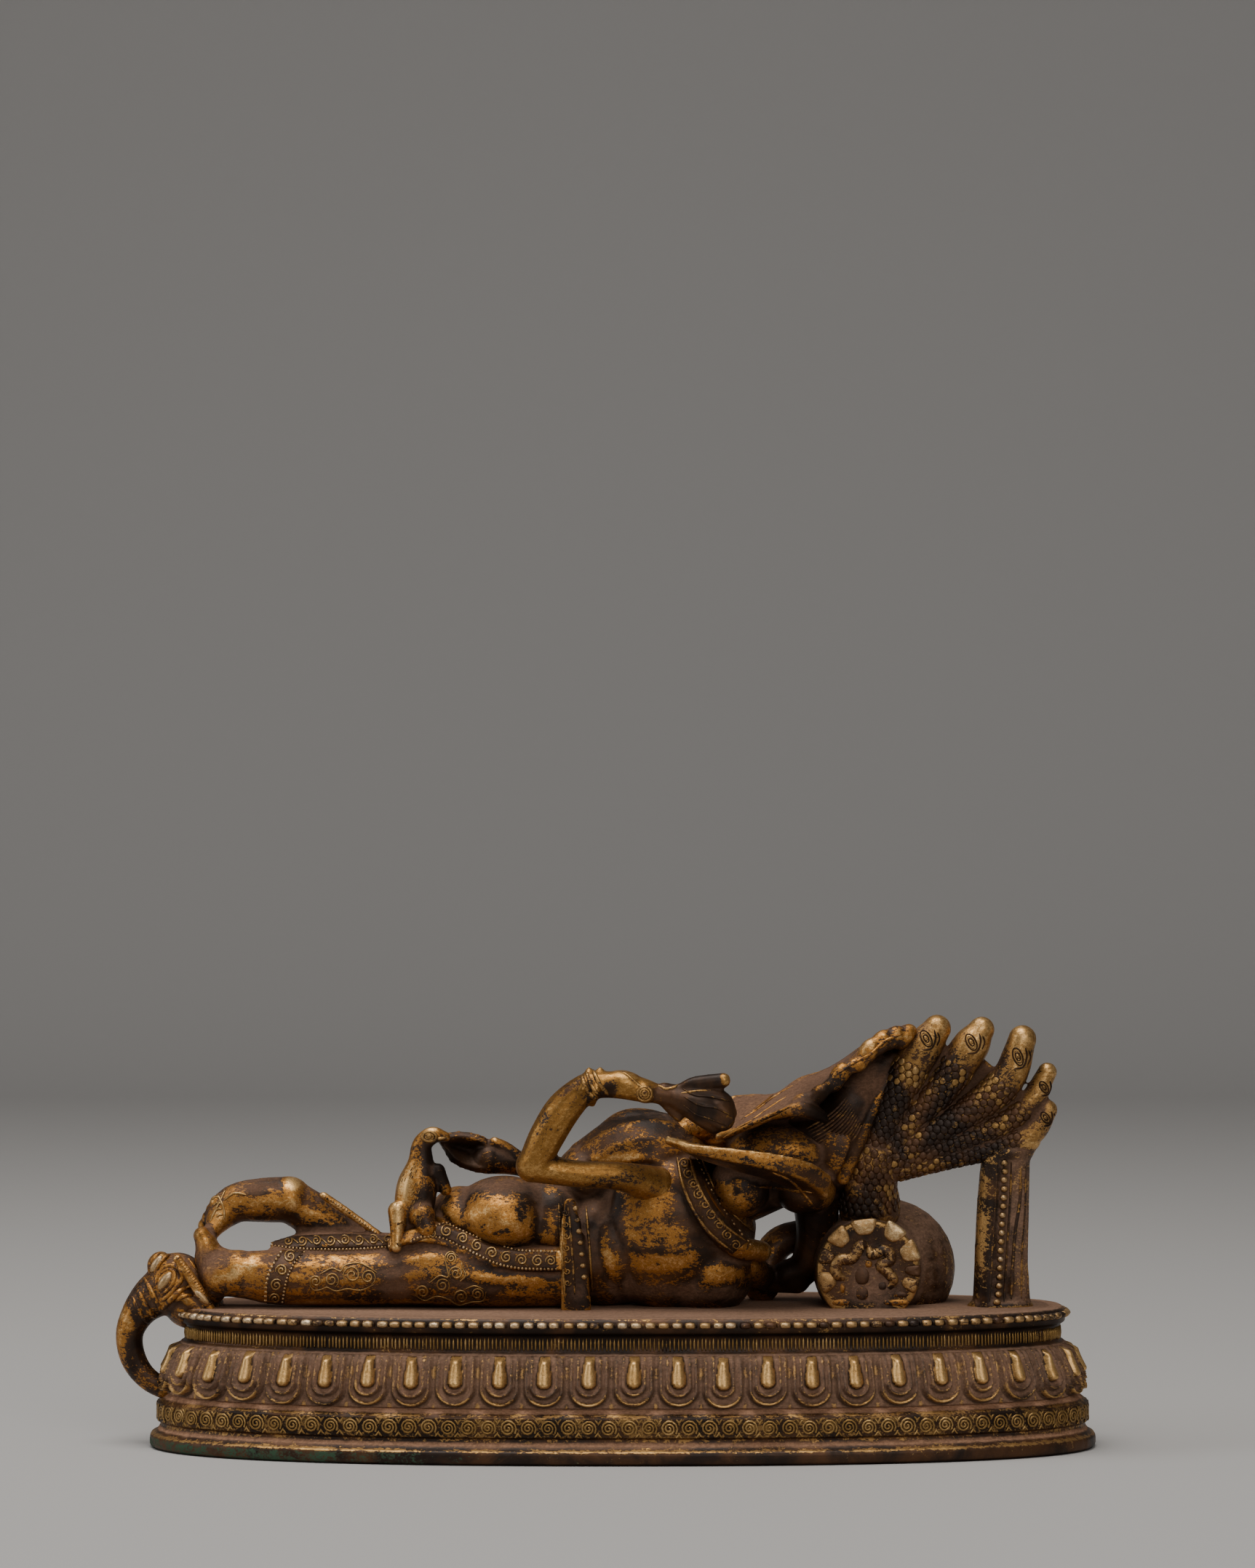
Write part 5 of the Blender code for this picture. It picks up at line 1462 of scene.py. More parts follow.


# Each region's wear and painted shade as the photograph shows it, in its frame: place, half width, half height and
# turn in degrees of a soft patch, then more gilt, dust and painted shade

LEG_WEAR_AND_SHADE = (
    (330, 1745, 26, 10, -20, 0.75, -0.5, 0), (318, 1756, 14, 8, 0, 0.55, -0.4, 0),
    (348, 1734, 12, 12, 0, 0.5, -0.3, 0), (330, 1778, 40, 12, 5, 0.3, 0.1, 0),
    (300, 1712, 9, 16, 30, 0.5, -0.2, 0), (283, 1735, 16, 40, -20, -0.1, 0.5, 0),
    (480, 1730, 50, 8, 0, 0.62, -0.6, 0), (425, 1743, 14, 10, 0, 0.45, -0.3, 0), (470, 1760, 70, 16, 0, 0.1, 0, 0),
    (470, 1760, 58, 19, 0, 0, 0.12, 0.12), (622, 1764, 54, 28, 20, -0.05, 0.15, 0.1),
    (480, 1790, 95, 5, 0, 0.45, -0.3, 0), (405, 1795, 20, 6, 0, 0.4, -0.2, 0),
    (540, 1770, 22, 26, 0, -0.35, 0.25, 0.15), (590, 1733, 34, 10, 10, 0.45, -0.5, 0),
    (650, 1747, 40, 9, 18, 0.42, -0.5, 0), (705, 1760, 52, 8, 6, 0.6, -0.6, 0),
    (735, 1776, 30, 16, 0, 0.35, -0.3, 0), (620, 1790, 70, 8, 0, 0.25, 0, 0), (600, 1770, 60, 22, 0, 0.05, 0.05, 0),
    (402, 1626, 15, 11, 10, 1.0, -0.8, -0.3), (375, 1655, 38, 9, -8, 0.35, -0.5, 0.1),
    (345, 1650, 30, 7, -8, 0.4, -0.5, 0), (352, 1638, 14, 9, 0, -0.4, 0.4, 0.25),
    (372, 1625, 18, 7, 0, -0.35, 0.1, 0.3), (420, 1668, 30, 10, 20, 0.45, -0.4, 0),
    (455, 1676, 20, 12, 20, 0.35, -0.2, 0), (395, 1672, 18, 9, 30, -0.3, 0, 0.4),
    (317, 1660, 18, 10, -30, 0.4, -0.3, 0), (300, 1690, 12, 10, 0, 0.2, 0.1, 0),
    (275, 1697, 7, 8, 0, -0.2, -0.1, 0.4), (455, 1705, 80, 8, -5, 0.15, 0.25, 0),
)
BODY_WEAR_AND_SHADE = (
    (690, 1680, 48, 34, 12, 0.48, -0.6, -0.1), (725, 1700, 28, 16, 10, 0.3, -0.2, 0),
    (660, 1660, 16, 14, 0, 0.3, -0.2, 0), (690, 1693, 16, 9, 20, -0.35, 0, 0.1),
    (716, 1670, 9, 14, 0, -0.35, 0, 0.1), (740, 1650, 30, 16, 20, -0.35, 0, 0.45),
    (690, 1632, 44, 12, 0, -0.2, 0.3, 0.15), (624, 1648, 12, 22, 20, 0.35, 0, 0),
    (600, 1655, 12, 30, 0, -0.1, 0.4, 0), (845, 1553, 84, 38, 5, -0.1, -0.28, 0.55),
    (930, 1556, 40, 16, 20, -0.1, 0.1, 0.3), (850, 1592, 36, 6, -6, 1.0, -0.7, -0.3),
    (900, 1635, 54, 42, 40, 0.22, -0.55, 0), (895, 1690, 62, 34, 10, 0.2, -0.55, 0),
    (930, 1668, 16, 22, 30, -0.25, 0, 0.15), (915, 1735, 52, 12, -3, 0.85, -0.7, -0.2),
    (985, 1750, 34, 12, 0, 0.55, -0.5, 0), (832, 1725, 8, 34, -16, 0.65, -0.4, 0),
    (830, 1660, 22, 60, 0, -0.35, 0.1, 0.35), (905, 1722, 40, 5, 5, -0.4, 0, 0.35),
    (960, 1612, 20, 24, 30, -0.35, -0.1, 0.55), (965, 1690, 22, 40, -30, -0.4, -0.1, 0.4),
    (900, 1775, 130, 16, 0, -0.05, 0.45, 0), (1000, 1790, 50, 22, 0, -0.3, 0.3, 0.35),
    (792, 1715, 28, 100, 0, -0.55, 0.22, 0.25), (774, 1725, 4, 50, 0, 0.7, -0.4, -0.2),
)
ARM_WEAR_AND_SHADE = (
    (775, 1560, 30, 90, 28, 0.25, -0.4, -0.1), (800, 1608, 80, 14, 2, 0.2, -0.4, -0.1),
    (850, 1622, 40, 12, 0, -0.3, 0, 0.2), (790, 1500, 22, 30, 35, -0.25, 0.1, 0.45),
    (968, 1512, 62, 56, 0, -1.2, -0.1, 0.35), (998, 1484, 9, 9, 0, 1.5, -0.4, -0.4),
    (950, 1497, 22, 4, -10, 0.8, 0, -0.2), (985, 1528, 16, 18, 0, 0.4, 0.35, -0.1),
    (860, 1478, 36, 14, 10, 0.35, -0.2, 0), (838, 1498, 9, 12, 0, -0.8, -0.1, 0.6),
    (880, 1500, 14, 10, 0, 0.3, -0.2, 0), (925, 1494, 20, 6, 0, -0.3, -0.1, 0.3),
    (930, 1530, 9, 9, 0, 0.45, 0, -0.2),
)
MOUSE_WEAR_AND_SHADE = (
    (560, 1615, 18, 26, 8, 1.0, -0.6, -0.3), (552, 1655, 14, 30, 0, 0.95, -0.5, -0.2),
    (590, 1556, 26, 10, 0, 0.45, -0.3, 0), (590, 1595, 14, 20, 0, -0.2, 0.4, 0),
    (549, 1695, 8, 22, 0, 0.75, -0.4, 0), (580, 1660, 14, 20, 0, -0.1, 0.3, 0.2),
    (630, 1590, 40, 30, 20, -0.8, -0.35, 0.62), (612, 1598, 36, 22, 30, -0.2, -0.2, 0.35),
    (628, 1567, 30, 3, 2, 0.6, -0.2, -0.6), (620, 1606, 24, 5, 45, 0.7, 0, -0.4),
    (695, 1590, 20, 14, 40, -0.2, 0.2, 0.25), (640, 1620, 20, 10, 0, -0.3, 0.4, 0.1),
)
HEAD_WEAR_AND_SHADE = (
    (960, 1570, 50, 5, 8, 0.5, -0.4, 0), (1010, 1588, 80, 5, 8, 0.36, -0.5, -0.1),
    (1080, 1602, 40, 5, 10, 0.28, -0.4, 0), (1040, 1600, 76, 9, 9, -0.22, 0.15, 0.15),
    (1140, 1640, 14, 22, 40, 0.25, -0.3, 0), (1105, 1626, 40, 16, 20, -0.3, -0.1, 0.3),
    (1016, 1646, 24, 20, 15, 0.48, -0.5, -0.1), (1013, 1638, 5, 5, 0, -0.8, 0, 0.5),
    (1060, 1650, 60, 26, 20, -0.3, 0, 0.35), (985, 1612, 26, 14, 20, -0.2, 0.55, 0),
    (1070, 1640, 34, 18, 20, -0.15, 0.1, 0.3), (960, 1552, 44, 14, 10, 0.3, 0.15, 0),
    (1100, 1720, 40, 60, 0, -0.5, -0.2, 0.6), (1076, 1705, 22, 22, 0, 0, 0.5, -0.3),
    (1080, 1760, 40, 24, 0, -0.5, -0.3, 0.55), (1000, 1600, 40, 6, 8, 0.2, 0, 0),
)
CROWN_WEAR_AND_SHADE = (
    (1060, 1520, 60, 24, -28, 0.2, 0.4, 0), (1010, 1525, 50, 16, -10, 0.25, 0.3, 0),
    (1070, 1575, 60, 20, -10, -0.5, -0.15, 0.55), (1130, 1520, 30, 34, -40, -0.5, -0.1, 0.6),
    (1105, 1532, 24, 10, 0, 0, 0.5, -0.2), (1190, 1440, 36, 10, -42, 0.55, -0.2, 0),
    (1240, 1424, 14, 7, 10, 0.7, -0.3, -0.2), (1160, 1560, 30, 40, 10, -0.2, 0.35, 0),
    (1200, 1490, 26, 26, 0, -0.2, 0.45, 0), (1222, 1460, 14, 26, 40, -0.4, -0.1, 0.5),
    (1170, 1590, 12, 30, 20, 0, 0.35, 0), (1150, 1560, 54, 56, -30, -0.3, -0.35, 0.5),
)
HOOD_WEAR_AND_SHADE = (
    (1283, 1425, 22, 26, 20, 0.55, 0, -0.3), (1346, 1430, 22, 26, 20, 0.75, -0.4, -0.3),
    (1405, 1445, 18, 34, 10, 0.75, -0.4, -0.3), (1440, 1485, 12, 26, 20, 0.55, -0.2, -0.2),
    (1440, 1530, 12, 20, 10, 0.25, 0.2, 0), (1180, 1600, 14, 40, 20, -0.1, 0.4, 0),
    (1200, 1655, 40, 18, 10, -0.3, 0.35, 0.1), (1250, 1640, 20, 40, 10, -0.2, 0.2, 0.2),
    (1290, 1580, 60, 50, -30, -0.05, -0.1, 0.2),
)
BOLSTER_WEAR_AND_SHADE = (
    (1195, 1742, 70, 70, 0, 0, -0.3, 0.45), (1197, 1760, 40, 44, 0, 0.1, 0.45, -0.32),
    (1285, 1745, 26, 60, 0, -0.2, 0.1, 0.15), (1260, 1690, 30, 16, 30, 0.1, 0.2, 0),
    (1380, 1695, 44, 115, 0, -0.22, 0.1, 0.22), (1349, 1695, 8, 48, 0, 0.55, -0.4, -0.2),
    (1350, 1770, 9, 26, 0, 0, -0.3, 0.25), (1404, 1690, 16, 100, 0, 0, 0.35, -0.15),
    (1385, 1770, 12, 24, 0, -0.1, -0.2, 0.4), (1160, 1795, 60, 5, 0, 0.5, -0.2, 0),
)
SPOUT_WEAR_AND_SHADE = (
    (214, 1737, 10, 14, 30, 0.65, -0.4, 0), (226, 1760, 7, 14, 35, 0.6, -0.3, 0),
    (229, 1731, 4, 10, 25, 0.5, -0.2, 0), (172, 1810, 9, 26, -25, 0.75, -0.5, 0),
    (164, 1845, 6, 34, 0, 0.55, -0.4, 0), (186, 1850, 9, 50, 5, -0.4, 0, 0.45),
    (215, 1895, 24, 14, -40, -0.1, 0, 0.25), (250, 1785, 22, 10, 15, -0.1, -0.2, 0.45),
    (276, 1783, 12, 5, 40, 0.9, -0.5, -0.4), (200, 1790, 22, 26, 40, -0.05, 0.3, 0),
    (268, 1757, 12, 34, -36, 0, 0.35, 0),
)


def legs_and_skirt():
    skin = skin_piece("legs_and_skirt", near_leg() + far_leg() + garment(), "worn_gilt", MIDDLE,
                      gilt=0.24, dust=0.4, patches=LEG_WEAR_AND_SHADE)
    bare = [skin]
    lines = []
    beads = []
    bare += [
        laid_band("near_hem", ((388, 1719), (375, 1741), (368, 1762), (367, 1792)), ((418, 1720), (404, 1740),
            (396, 1762), (391, 1792)), bare, 0.22, "worn_gilt", columns=40, gilt=0.18, dust=0.42, shade=0.3),
        laid_band("skirt_border", ((376, 1703), (420, 1699), (480, 1697), (536, 1700)), ((376, 1713), (420, 1717),
            (480, 1716), (536, 1713)), bare, 0.22, "worn_gilt", gilt=0.18, dust=0.42, shade=0.3),
        laid_band("sash", ((566, 1703), (584, 1693), (600, 1685), (616, 1682), (634, 1690), (660, 1703),
            (685, 1711), (715, 1719), (764, 1721)), ((566, 1711), (584, 1703), (600, 1700), (616, 1704),
            (634, 1714), (660, 1728), (685, 1739), (715, 1747), (764, 1748)), bare, 0.3, "worn_gilt", columns=90,
            rows=8, gilt=0.22, dust=0.4, shade=0.28),
    ]
    # Near hem: three curls in a band between two bead lines
    lines += laid_curls((
        (399, 1728, 9, 1), (387, 1747, 8.5, -1), (380, 1767, 8.5, 1), (378, 1785, 7.5, -1),
    ), 1.7, 60, bare, 0.2, 0.0001)
    beads += [(((386, 1722), (374, 1742), (367, 1762), (365, 1788)), 5.6, (0.34, 0.42, 0.36)),
              (((418, 1722), (404, 1738), (394, 1760), (388, 1790)), 4.6, (0.26, 0.3, 0.28))]
    # Border of the skirt over both legs
    for i in range(8):
        x = 396 + i * 19.5
        lines += laid_line(curl(x, 1707 - 0.35 * i, 7.0, 1.6, 90 + 180 * (i % 2), 1 if i % 2 else -1), bare, 0.2,
                           0.0001, smooth=False)
        lines += laid_line(((x + 5, 1703), (x + 9.5, 1706), (x + 14, 1710)), bare, 0.16, 0.0001)
    beads += [(((374, 1712), (400, 1716), (450, 1718), (500, 1717), (535, 1714)), 4.8, (0.3, 0.34, 0.3)),
              (((446, 1646), (470, 1660), (494, 1678), (516, 1695)), 4.2, (0.26, 0.3, 0.28))]
    # Cloud curls on the thigh
    lines += laid_curls((
        (434, 1762, 8.5, -1), (456, 1760, 10.5, 1), (484, 1753, 13.0, -1), (506, 1756, 11.0, 1),
        (581, 1776, 9.5, -1), (608, 1767, 10.5, 1), (634, 1783, 10.5, -1), (656, 1779, 9.0, 1),
        (627, 1751, 10.5, -1), (620, 1730, 7.5, 1),
    ), 1.9, 100, bare, 0.19, 0.00006)
    clouds = (((425, 1766), (432, 1774), (444, 1772), (450, 1770), (462, 1775), (478, 1772), (496, 1774),
            (514, 1766)), ((440, 1752), (456, 1744), (468, 1748), (474, 1740), (492, 1737), (506, 1742),
            (518, 1750)), ((570, 1780), (584, 1788), (600, 1782), (616, 1786), (630, 1794), (648, 1790),
            (664, 1788), (668, 1776)), ((590, 1764), (604, 1754), (616, 1756), (614, 1742), (612, 1728),
            (620, 1721), (630, 1728)), ((632, 1762), (640, 1754), (636, 1744), (634, 1736)), ((640, 1772),
            (652, 1768), (664, 1772)))
    lines += laid_lines([(path, 0.17) for path in clouds], bare, 0.00006)
    # Sash over the near thigh, curls between two beaded edges
    lines += laid_curls((
        (594, 1697, 6, -1), (614, 1693, 9, 1), (636, 1703, 8, -1), (655.5, 1713, 8.5, 1), (676, 1723, 8.5, -1),
        (696, 1729, 8.5, 1), (717, 1732.5, 8.5, -1), (739, 1734, 8.5, 1), (757, 1734, 7.5, -1),
    ), 1.7, 60, bare, 0.2, 0.0001)
    beads += [(((565, 1707), (580, 1701), (607, 1702), (630, 1712), (658, 1726), (681, 1737), (715, 1744),
                (764, 1745)), 5.0, (0.32, 0.36, 0.32)),
              (((590, 1690), (612, 1682), (630, 1690), (648, 1698), (667, 1706), (692, 1714), (717, 1719.5),
                (764, 1721)), 5.0, (0.3, 0.34, 0.3))]
    # Toes, their nails and the straps across the far foot
    for i in range(4):
        lines += laid_line(((291 + 2 * i, 1650 + 8 * i), (296 + 2 * i, 1646 + 8 * i), (303 + i, 1647 + 8 * i)),
                bare, 0.22, 0.0)
    lines += laid_line(((289, 1679), (297, 1662), (305, 1646), (310, 1636)), bare, 0.26, 0.0)
    lines += laid_line(((297, 1640), (303, 1650), (308, 1664), (308, 1676)), bare, 0.24, 0.0)
    lines += laid_line(((308, 1650), (322, 1641), (338, 1643)), bare, 0.26, 0.0)
    threads("skirt_scrolls", lines, "scale_gilt", gilt=0.82, dust=0.16)
    bead_rows("skirt_beads", beads, bare, gilt=0.9, dust=0.15)


def body_and_straps():
    skin = skin_piece("body", torso() + belt(), "worn_gilt", BROAD, gilt=0.26, dust=0.26,
                      patches=BODY_WEAR_AND_SHADE, carve=soft_folds)
    bare = [skin]
    lines, beads = [], []
    bare += [
        laid_band("collar", ((929, 1596), (936, 1625), (950, 1660), (972, 1695), (1006, 1724)), ((966, 1594),
            (975, 1616), (988, 1642), (1010, 1670), (1040, 1696)), bare, 0.3, "dull_gilt", gilt=0.12, dust=0.42,
            shade=0.35),
    ]
    # Strap that falls from the belly: an edge ridge, a curl strip and a column of beads to a tassel knob
    lines += laid_lines((
        (((768, 1655), (771, 1700), (774, 1745), (777, 1785)), 0.3),
        (((781, 1660), (785, 1700), (788, 1745), (790, 1780)), 0.24),
        (((806, 1660), (809, 1700), (812, 1745), (814, 1775)), 0.26),
    ), bare, 0.00005)
    for i in range(7):
        lines += laid_line(curl(777.5 + 0.5 * i, 1668 + 16 * i, 4.8, 1.3, 90, 1 if i % 2 else -1), bare, 0.18, 0.0001,
                           smooth=False)
    beads.append((((791, 1662), (796, 1694), (799, 1721), (803, 1756)), 13.5, (0.6, 0.66, 0.62)))
    # Collar: scrolls between ridges, in two bands that part towards the shoulder
    lines += laid_lines((
        (((931, 1592), (938, 1625), (952, 1660), (974, 1693), (1008, 1722)), 0.34),
        (((948, 1590), (956, 1620), (970, 1650), (992, 1682), (1024, 1706)), 0.34),
        (((965, 1594), (973, 1615), (986, 1642), (1008, 1670), (1036, 1694)), 0.3),
    ), bare, 0.00005)
    for i in range(9):
        t = i / 8
        x = 941 + 70 * t + 14 * math.sin(math.pi * t) * -0.5
        y = 1600 + 112 * t
        lines += laid_line(curl(x, y, 7.4, 1.6, 40, 1 if i % 2 else -1), bare, 0.2, 0.0001, smooth=False)
        beads.append((((x + 17, y - 6), (x + 20, y - 1)), 5.0, (0.34, 0.34, 0.3)))
    threads("strap_and_collar_scrolls", lines, "dull_gilt", gilt=0.62, dust=0.22)
    bead_rows("strap_beads", beads, bare, gilt=0.8, dust=0.12)


def soft_folds(mesh):
    """Sinks the navel's crease and the long soft folds of the flank into the body."""
    places, normals = points_of(mesh), normals_of(mesh)
    across, down = photo_place(places)
    front = smoothstep(0.3, -0.3, normals[:, 1])
    sink = np.zeros(len(places))
    for path, width, depth in ((((812, 1600), (845, 1606), (880, 1600), (905, 1604)), 5.0, 0.45),
                               (((604, 1668), (626, 1690), (660, 1712), (700, 1722), (750, 1716)), 5.0, 0.5),
                               (((836, 1640), (822, 1690), (826, 1740), (850, 1785)), 8.0, 0.45)):
        line = np.array(smooth_path(path, 8))
        gap = np.min(np.hypot(across[:, None] - line[None, :, 0], down[:, None] - line[None, :, 1]), axis=1)
        sink += depth * np.exp(-((gap / width) ** 2)) * front
    move_points(mesh, places - normals * (sink * MM)[:, None])


def near_arm_and_bracelets():
    palm = [fig_ball(13.4, -17.6, 42.6, 5.6, 1.9, 2.6, (0, 22, 0))]
    skin = skin_piece("near_arm", near_arm() + palm, "smooth_gilt", FINE, gilt=0.52, dust=0.08,
                      up_dust=0.2, patches=ARM_WEAR_AND_SHADE)
    bare = [skin]
    lines = []
    lines += laid_lines((
        (((800, 1478), (803, 1490), (810, 1503), (820, 1512)), 0.5),
        (((806, 1473), (810, 1486), (817, 1499), (828, 1510)), 0.42),
        (((815, 1471), (820, 1482), (827, 1495), (836, 1506)), 0.5),
        (((846, 1470), (862, 1478), (876, 1490), (884, 1497)), 0.34),
        (((905, 1492), (915, 1497), (928, 1494), (936, 1486)), 0.34),
        (((936, 1503), (956, 1500), (978, 1499)), 0.22),
    ), bare, -0.0001)
    for radius, thick in ((9.5, 0.34), (6.0, 0.28), (2.6, 0.36)):
        lines += laid_ring(886, 1504, radius, radius, bare, thick)
    threads("bracelets", lines, "dull_gilt", gilt=0.7, dust=0.05)
    # Finger creases drawn as dark threads with painted shade
    folds = laid_lines((
        (((938, 1497), (955, 1506), (975, 1508), (1003, 1514)), 0.22),
        (((940, 1508), (962, 1520), (985, 1524), (1004, 1534)), 0.22),
        (((940, 1520), (958, 1533), (980, 1540), (998, 1548)), 0.22),
    ), bare, 0.0)
    threads("finger_folds", folds, "dull_gilt", gilt=0.25, dust=0.1, shade=0.4)


def mouse_and_far_hand():
    skin = skin_piece("mouse_and_far_hand", mouse() + far_arm(), "worn_gilt", FINE, gilt=0.3, dust=0.2,
                      patches=MOUSE_WEAR_AND_SHADE)
    bare = [skin]
    lines = []
    own = np.random.default_rng(61)
    # Fur strokes down the back and the flank
    for _ in range(60):
        y = own.uniform(1590, 1680)
        x = own.uniform(546, 580) + 0.12 * (1640 - y) * (y < 1640)
        lines += laid_line(((x, y), (x - 1.0, y + 3.0), (x - 2.5, y + 6.0)), bare, 0.12, -0.00004, steps=2)
    for radius, thick in ((8.0, 0.36), (4.6, 0.26), (1.6, 0.4)):
        lines += laid_ring(590, 1563, radius * 1.2, radius * 0.8, bare, thick, count=15)
    lines += laid_lines((
        (((546, 1684), (552, 1680), (558, 1686)), 0.3), (((545, 1708), (549, 1712), (553, 1709)), 0.26),
        (((600, 1566), (625, 1565), (650, 1567), (668, 1578)), 0.4),
        (((603, 1582), (614, 1600), (630, 1613), (655, 1617)), 0.34),
    ), bare, 0.0)
    threads("mouse_fur_and_cuffs", lines, "scale_gilt", gilt=0.62, dust=0.12)


def head_and_ears():
    skin = skin_piece("head_and_ears", head() + ears(), "worn_gilt", MIDDLE, gilt=0.26, dust=0.3, patches=HEAD_WEAR_AND_SHADE)
    bare = [skin]
    lines = laid_line(((1062, 1612), (1085, 1622), (1102, 1638), (1118, 1658)), bare, 0.32, 0.0)
    for i in range(12):
        t = i / 11
        lines += laid_line(((1028 + 6 * i, 1640 - 12 * (1 - t)), (1040 + 6 * i, 1632 + 6 * t),
                (1050 + 6 * i, 1630 + 10 * t)), bare, 0.16, 0.0)
    lines += laid_line(((905, 1562), (950, 1572), (1000, 1579), (1050, 1586), (1100, 1596), (1135, 1612)), bare,
            0.42, 0.0)
    for i in range(6):
        lines += laid_line(((944 + 11 * i, 1541 - 1.5 * i), (948 + 11 * i, 1552 - i), (950 + 11 * i, 1562 - i)),
                bare, 0.2, 0.0)
    threads("ear_lip_and_ribs", lines, "worn_gilt", gilt=0.62, dust=0.18)


def crown_and_hair():
    skin = skin_piece("crown_and_hair", crown() + hair(), "worn_gilt", HAIR, gilt=0.14, dust=0.4, patches=CROWN_WEAR_AND_SHADE)
    bare = [skin]
    lines = []
    # Combed strands that rise from the ear towards the hood
    for i in range(15):
        t = i / 14
        low, high = np.array((1108 + 44 * t, 1552 + 54 * t)), np.array((1164 + 26 * t, 1508 + 50 * t))
        bow = np.array((3.0, 3.0))
        lines += laid_line((low, low * 0.65 + high * 0.35 + bow, low * 0.3 + high * 0.7 + bow, high), bare, 0.2,
                0.00003)
    threads("combed_strands", lines, "dull_gilt", gilt=0.34, dust=0.5)
    lines = []
    # The folded leaf on the rim and the creases of the crown's outer side
    lines += laid_lines((
        (((1072, 1541), (1088, 1530), (1108, 1527), (1122, 1536)), 0.36),
        (((1078, 1541), (1092, 1536), (1108, 1534), (1118, 1540)), 0.3),
        (((994, 1565), (1020, 1552), (1050, 1538), (1085, 1522)), 0.42),
        (((1006, 1556), (1030, 1542), (1056, 1524), (1080, 1508)), 0.24),
        (((1016, 1541), (1040, 1526), (1064, 1508), (1090, 1492)), 0.24),
        (((1034, 1528), (1052, 1514), (1072, 1498), (1094, 1486)), 0.22),
        (((1150, 1478), (1172, 1462), (1196, 1450), (1216, 1432), (1240, 1422)), 0.34),
    ), bare, -0.00006)
    threads("crown_leaf_folds", lines, "worn_gilt", gilt=0.6, dust=0.22)


def scale_mesh():
    """One scale: a rounded tile, one at its widest, raised at its free end."""
    bm = bmesh.new()
    rim = []
    for i in range(7):
        a = 2 * math.pi * i / 7
        x, y = math.cos(a), math.sin(a)
        rim.append(bm.verts.new((x * (1.1 if x > 0 else 0.9), y, 0.0 if x > -0.5 else -0.1)))
    inner = [bm.verts.new((v.co.x * 0.66 + 0.1, v.co.y * 0.68, 0.42 + 0.16 * v.co.x)) for v in rim]
    under = [bm.verts.new((v.co.x * 0.9, v.co.y * 0.9, -0.6)) for v in rim]
    bridge(bm, (under, rim, inner), closed=True)
    bm.faces.new(inner)
    bm.faces.new(list(reversed(under)))
    bmesh.ops.recalc_face_normals(bm, faces=bm.faces)
    return held_mesh(bm, "scale")


def neck_scales(path, first, last):
    """Scale places in staggered rings round one neck, from first to last along it."""
    rows = np.array(between(path, 12))
    way = way_along(rows[:, :3])
    made = []
    count = int((way[-1] * (last - first)) / SCALE_PITCH)
    for i in range(count):
        mark = way[-1] * first + i * SCALE_PITCH
        spot = np.array([np.interp(mark, way, rows[:, k]) for k in range(4)])
        ahead = np.array([np.interp(mark + 0.5, way, rows[:, k]) - np.interp(mark - 0.5, way, rows[:, k])
                          for k in range(3)])
        ahead /= np.linalg.norm(ahead)
        side = np.cross(ahead, (0.0, 1.0, 0.0))
        side /= np.linalg.norm(side)
        up = np.cross(side, ahead)
        around = max(6, int(round(2 * math.pi * spot[3] / SCALE_SPREAD)))
        for j in range(around):
            angle = 2 * math.pi * (j + 0.5 * (i % 2)) / around
            out = math.cos(angle) * side + math.sin(angle) * up
            made.append((spot[:3] + out * (1.12 * spot[3] - 0.02), out, -ahead, 1.0 - 0.12 * (spot[3] < 2.4)))
    return made


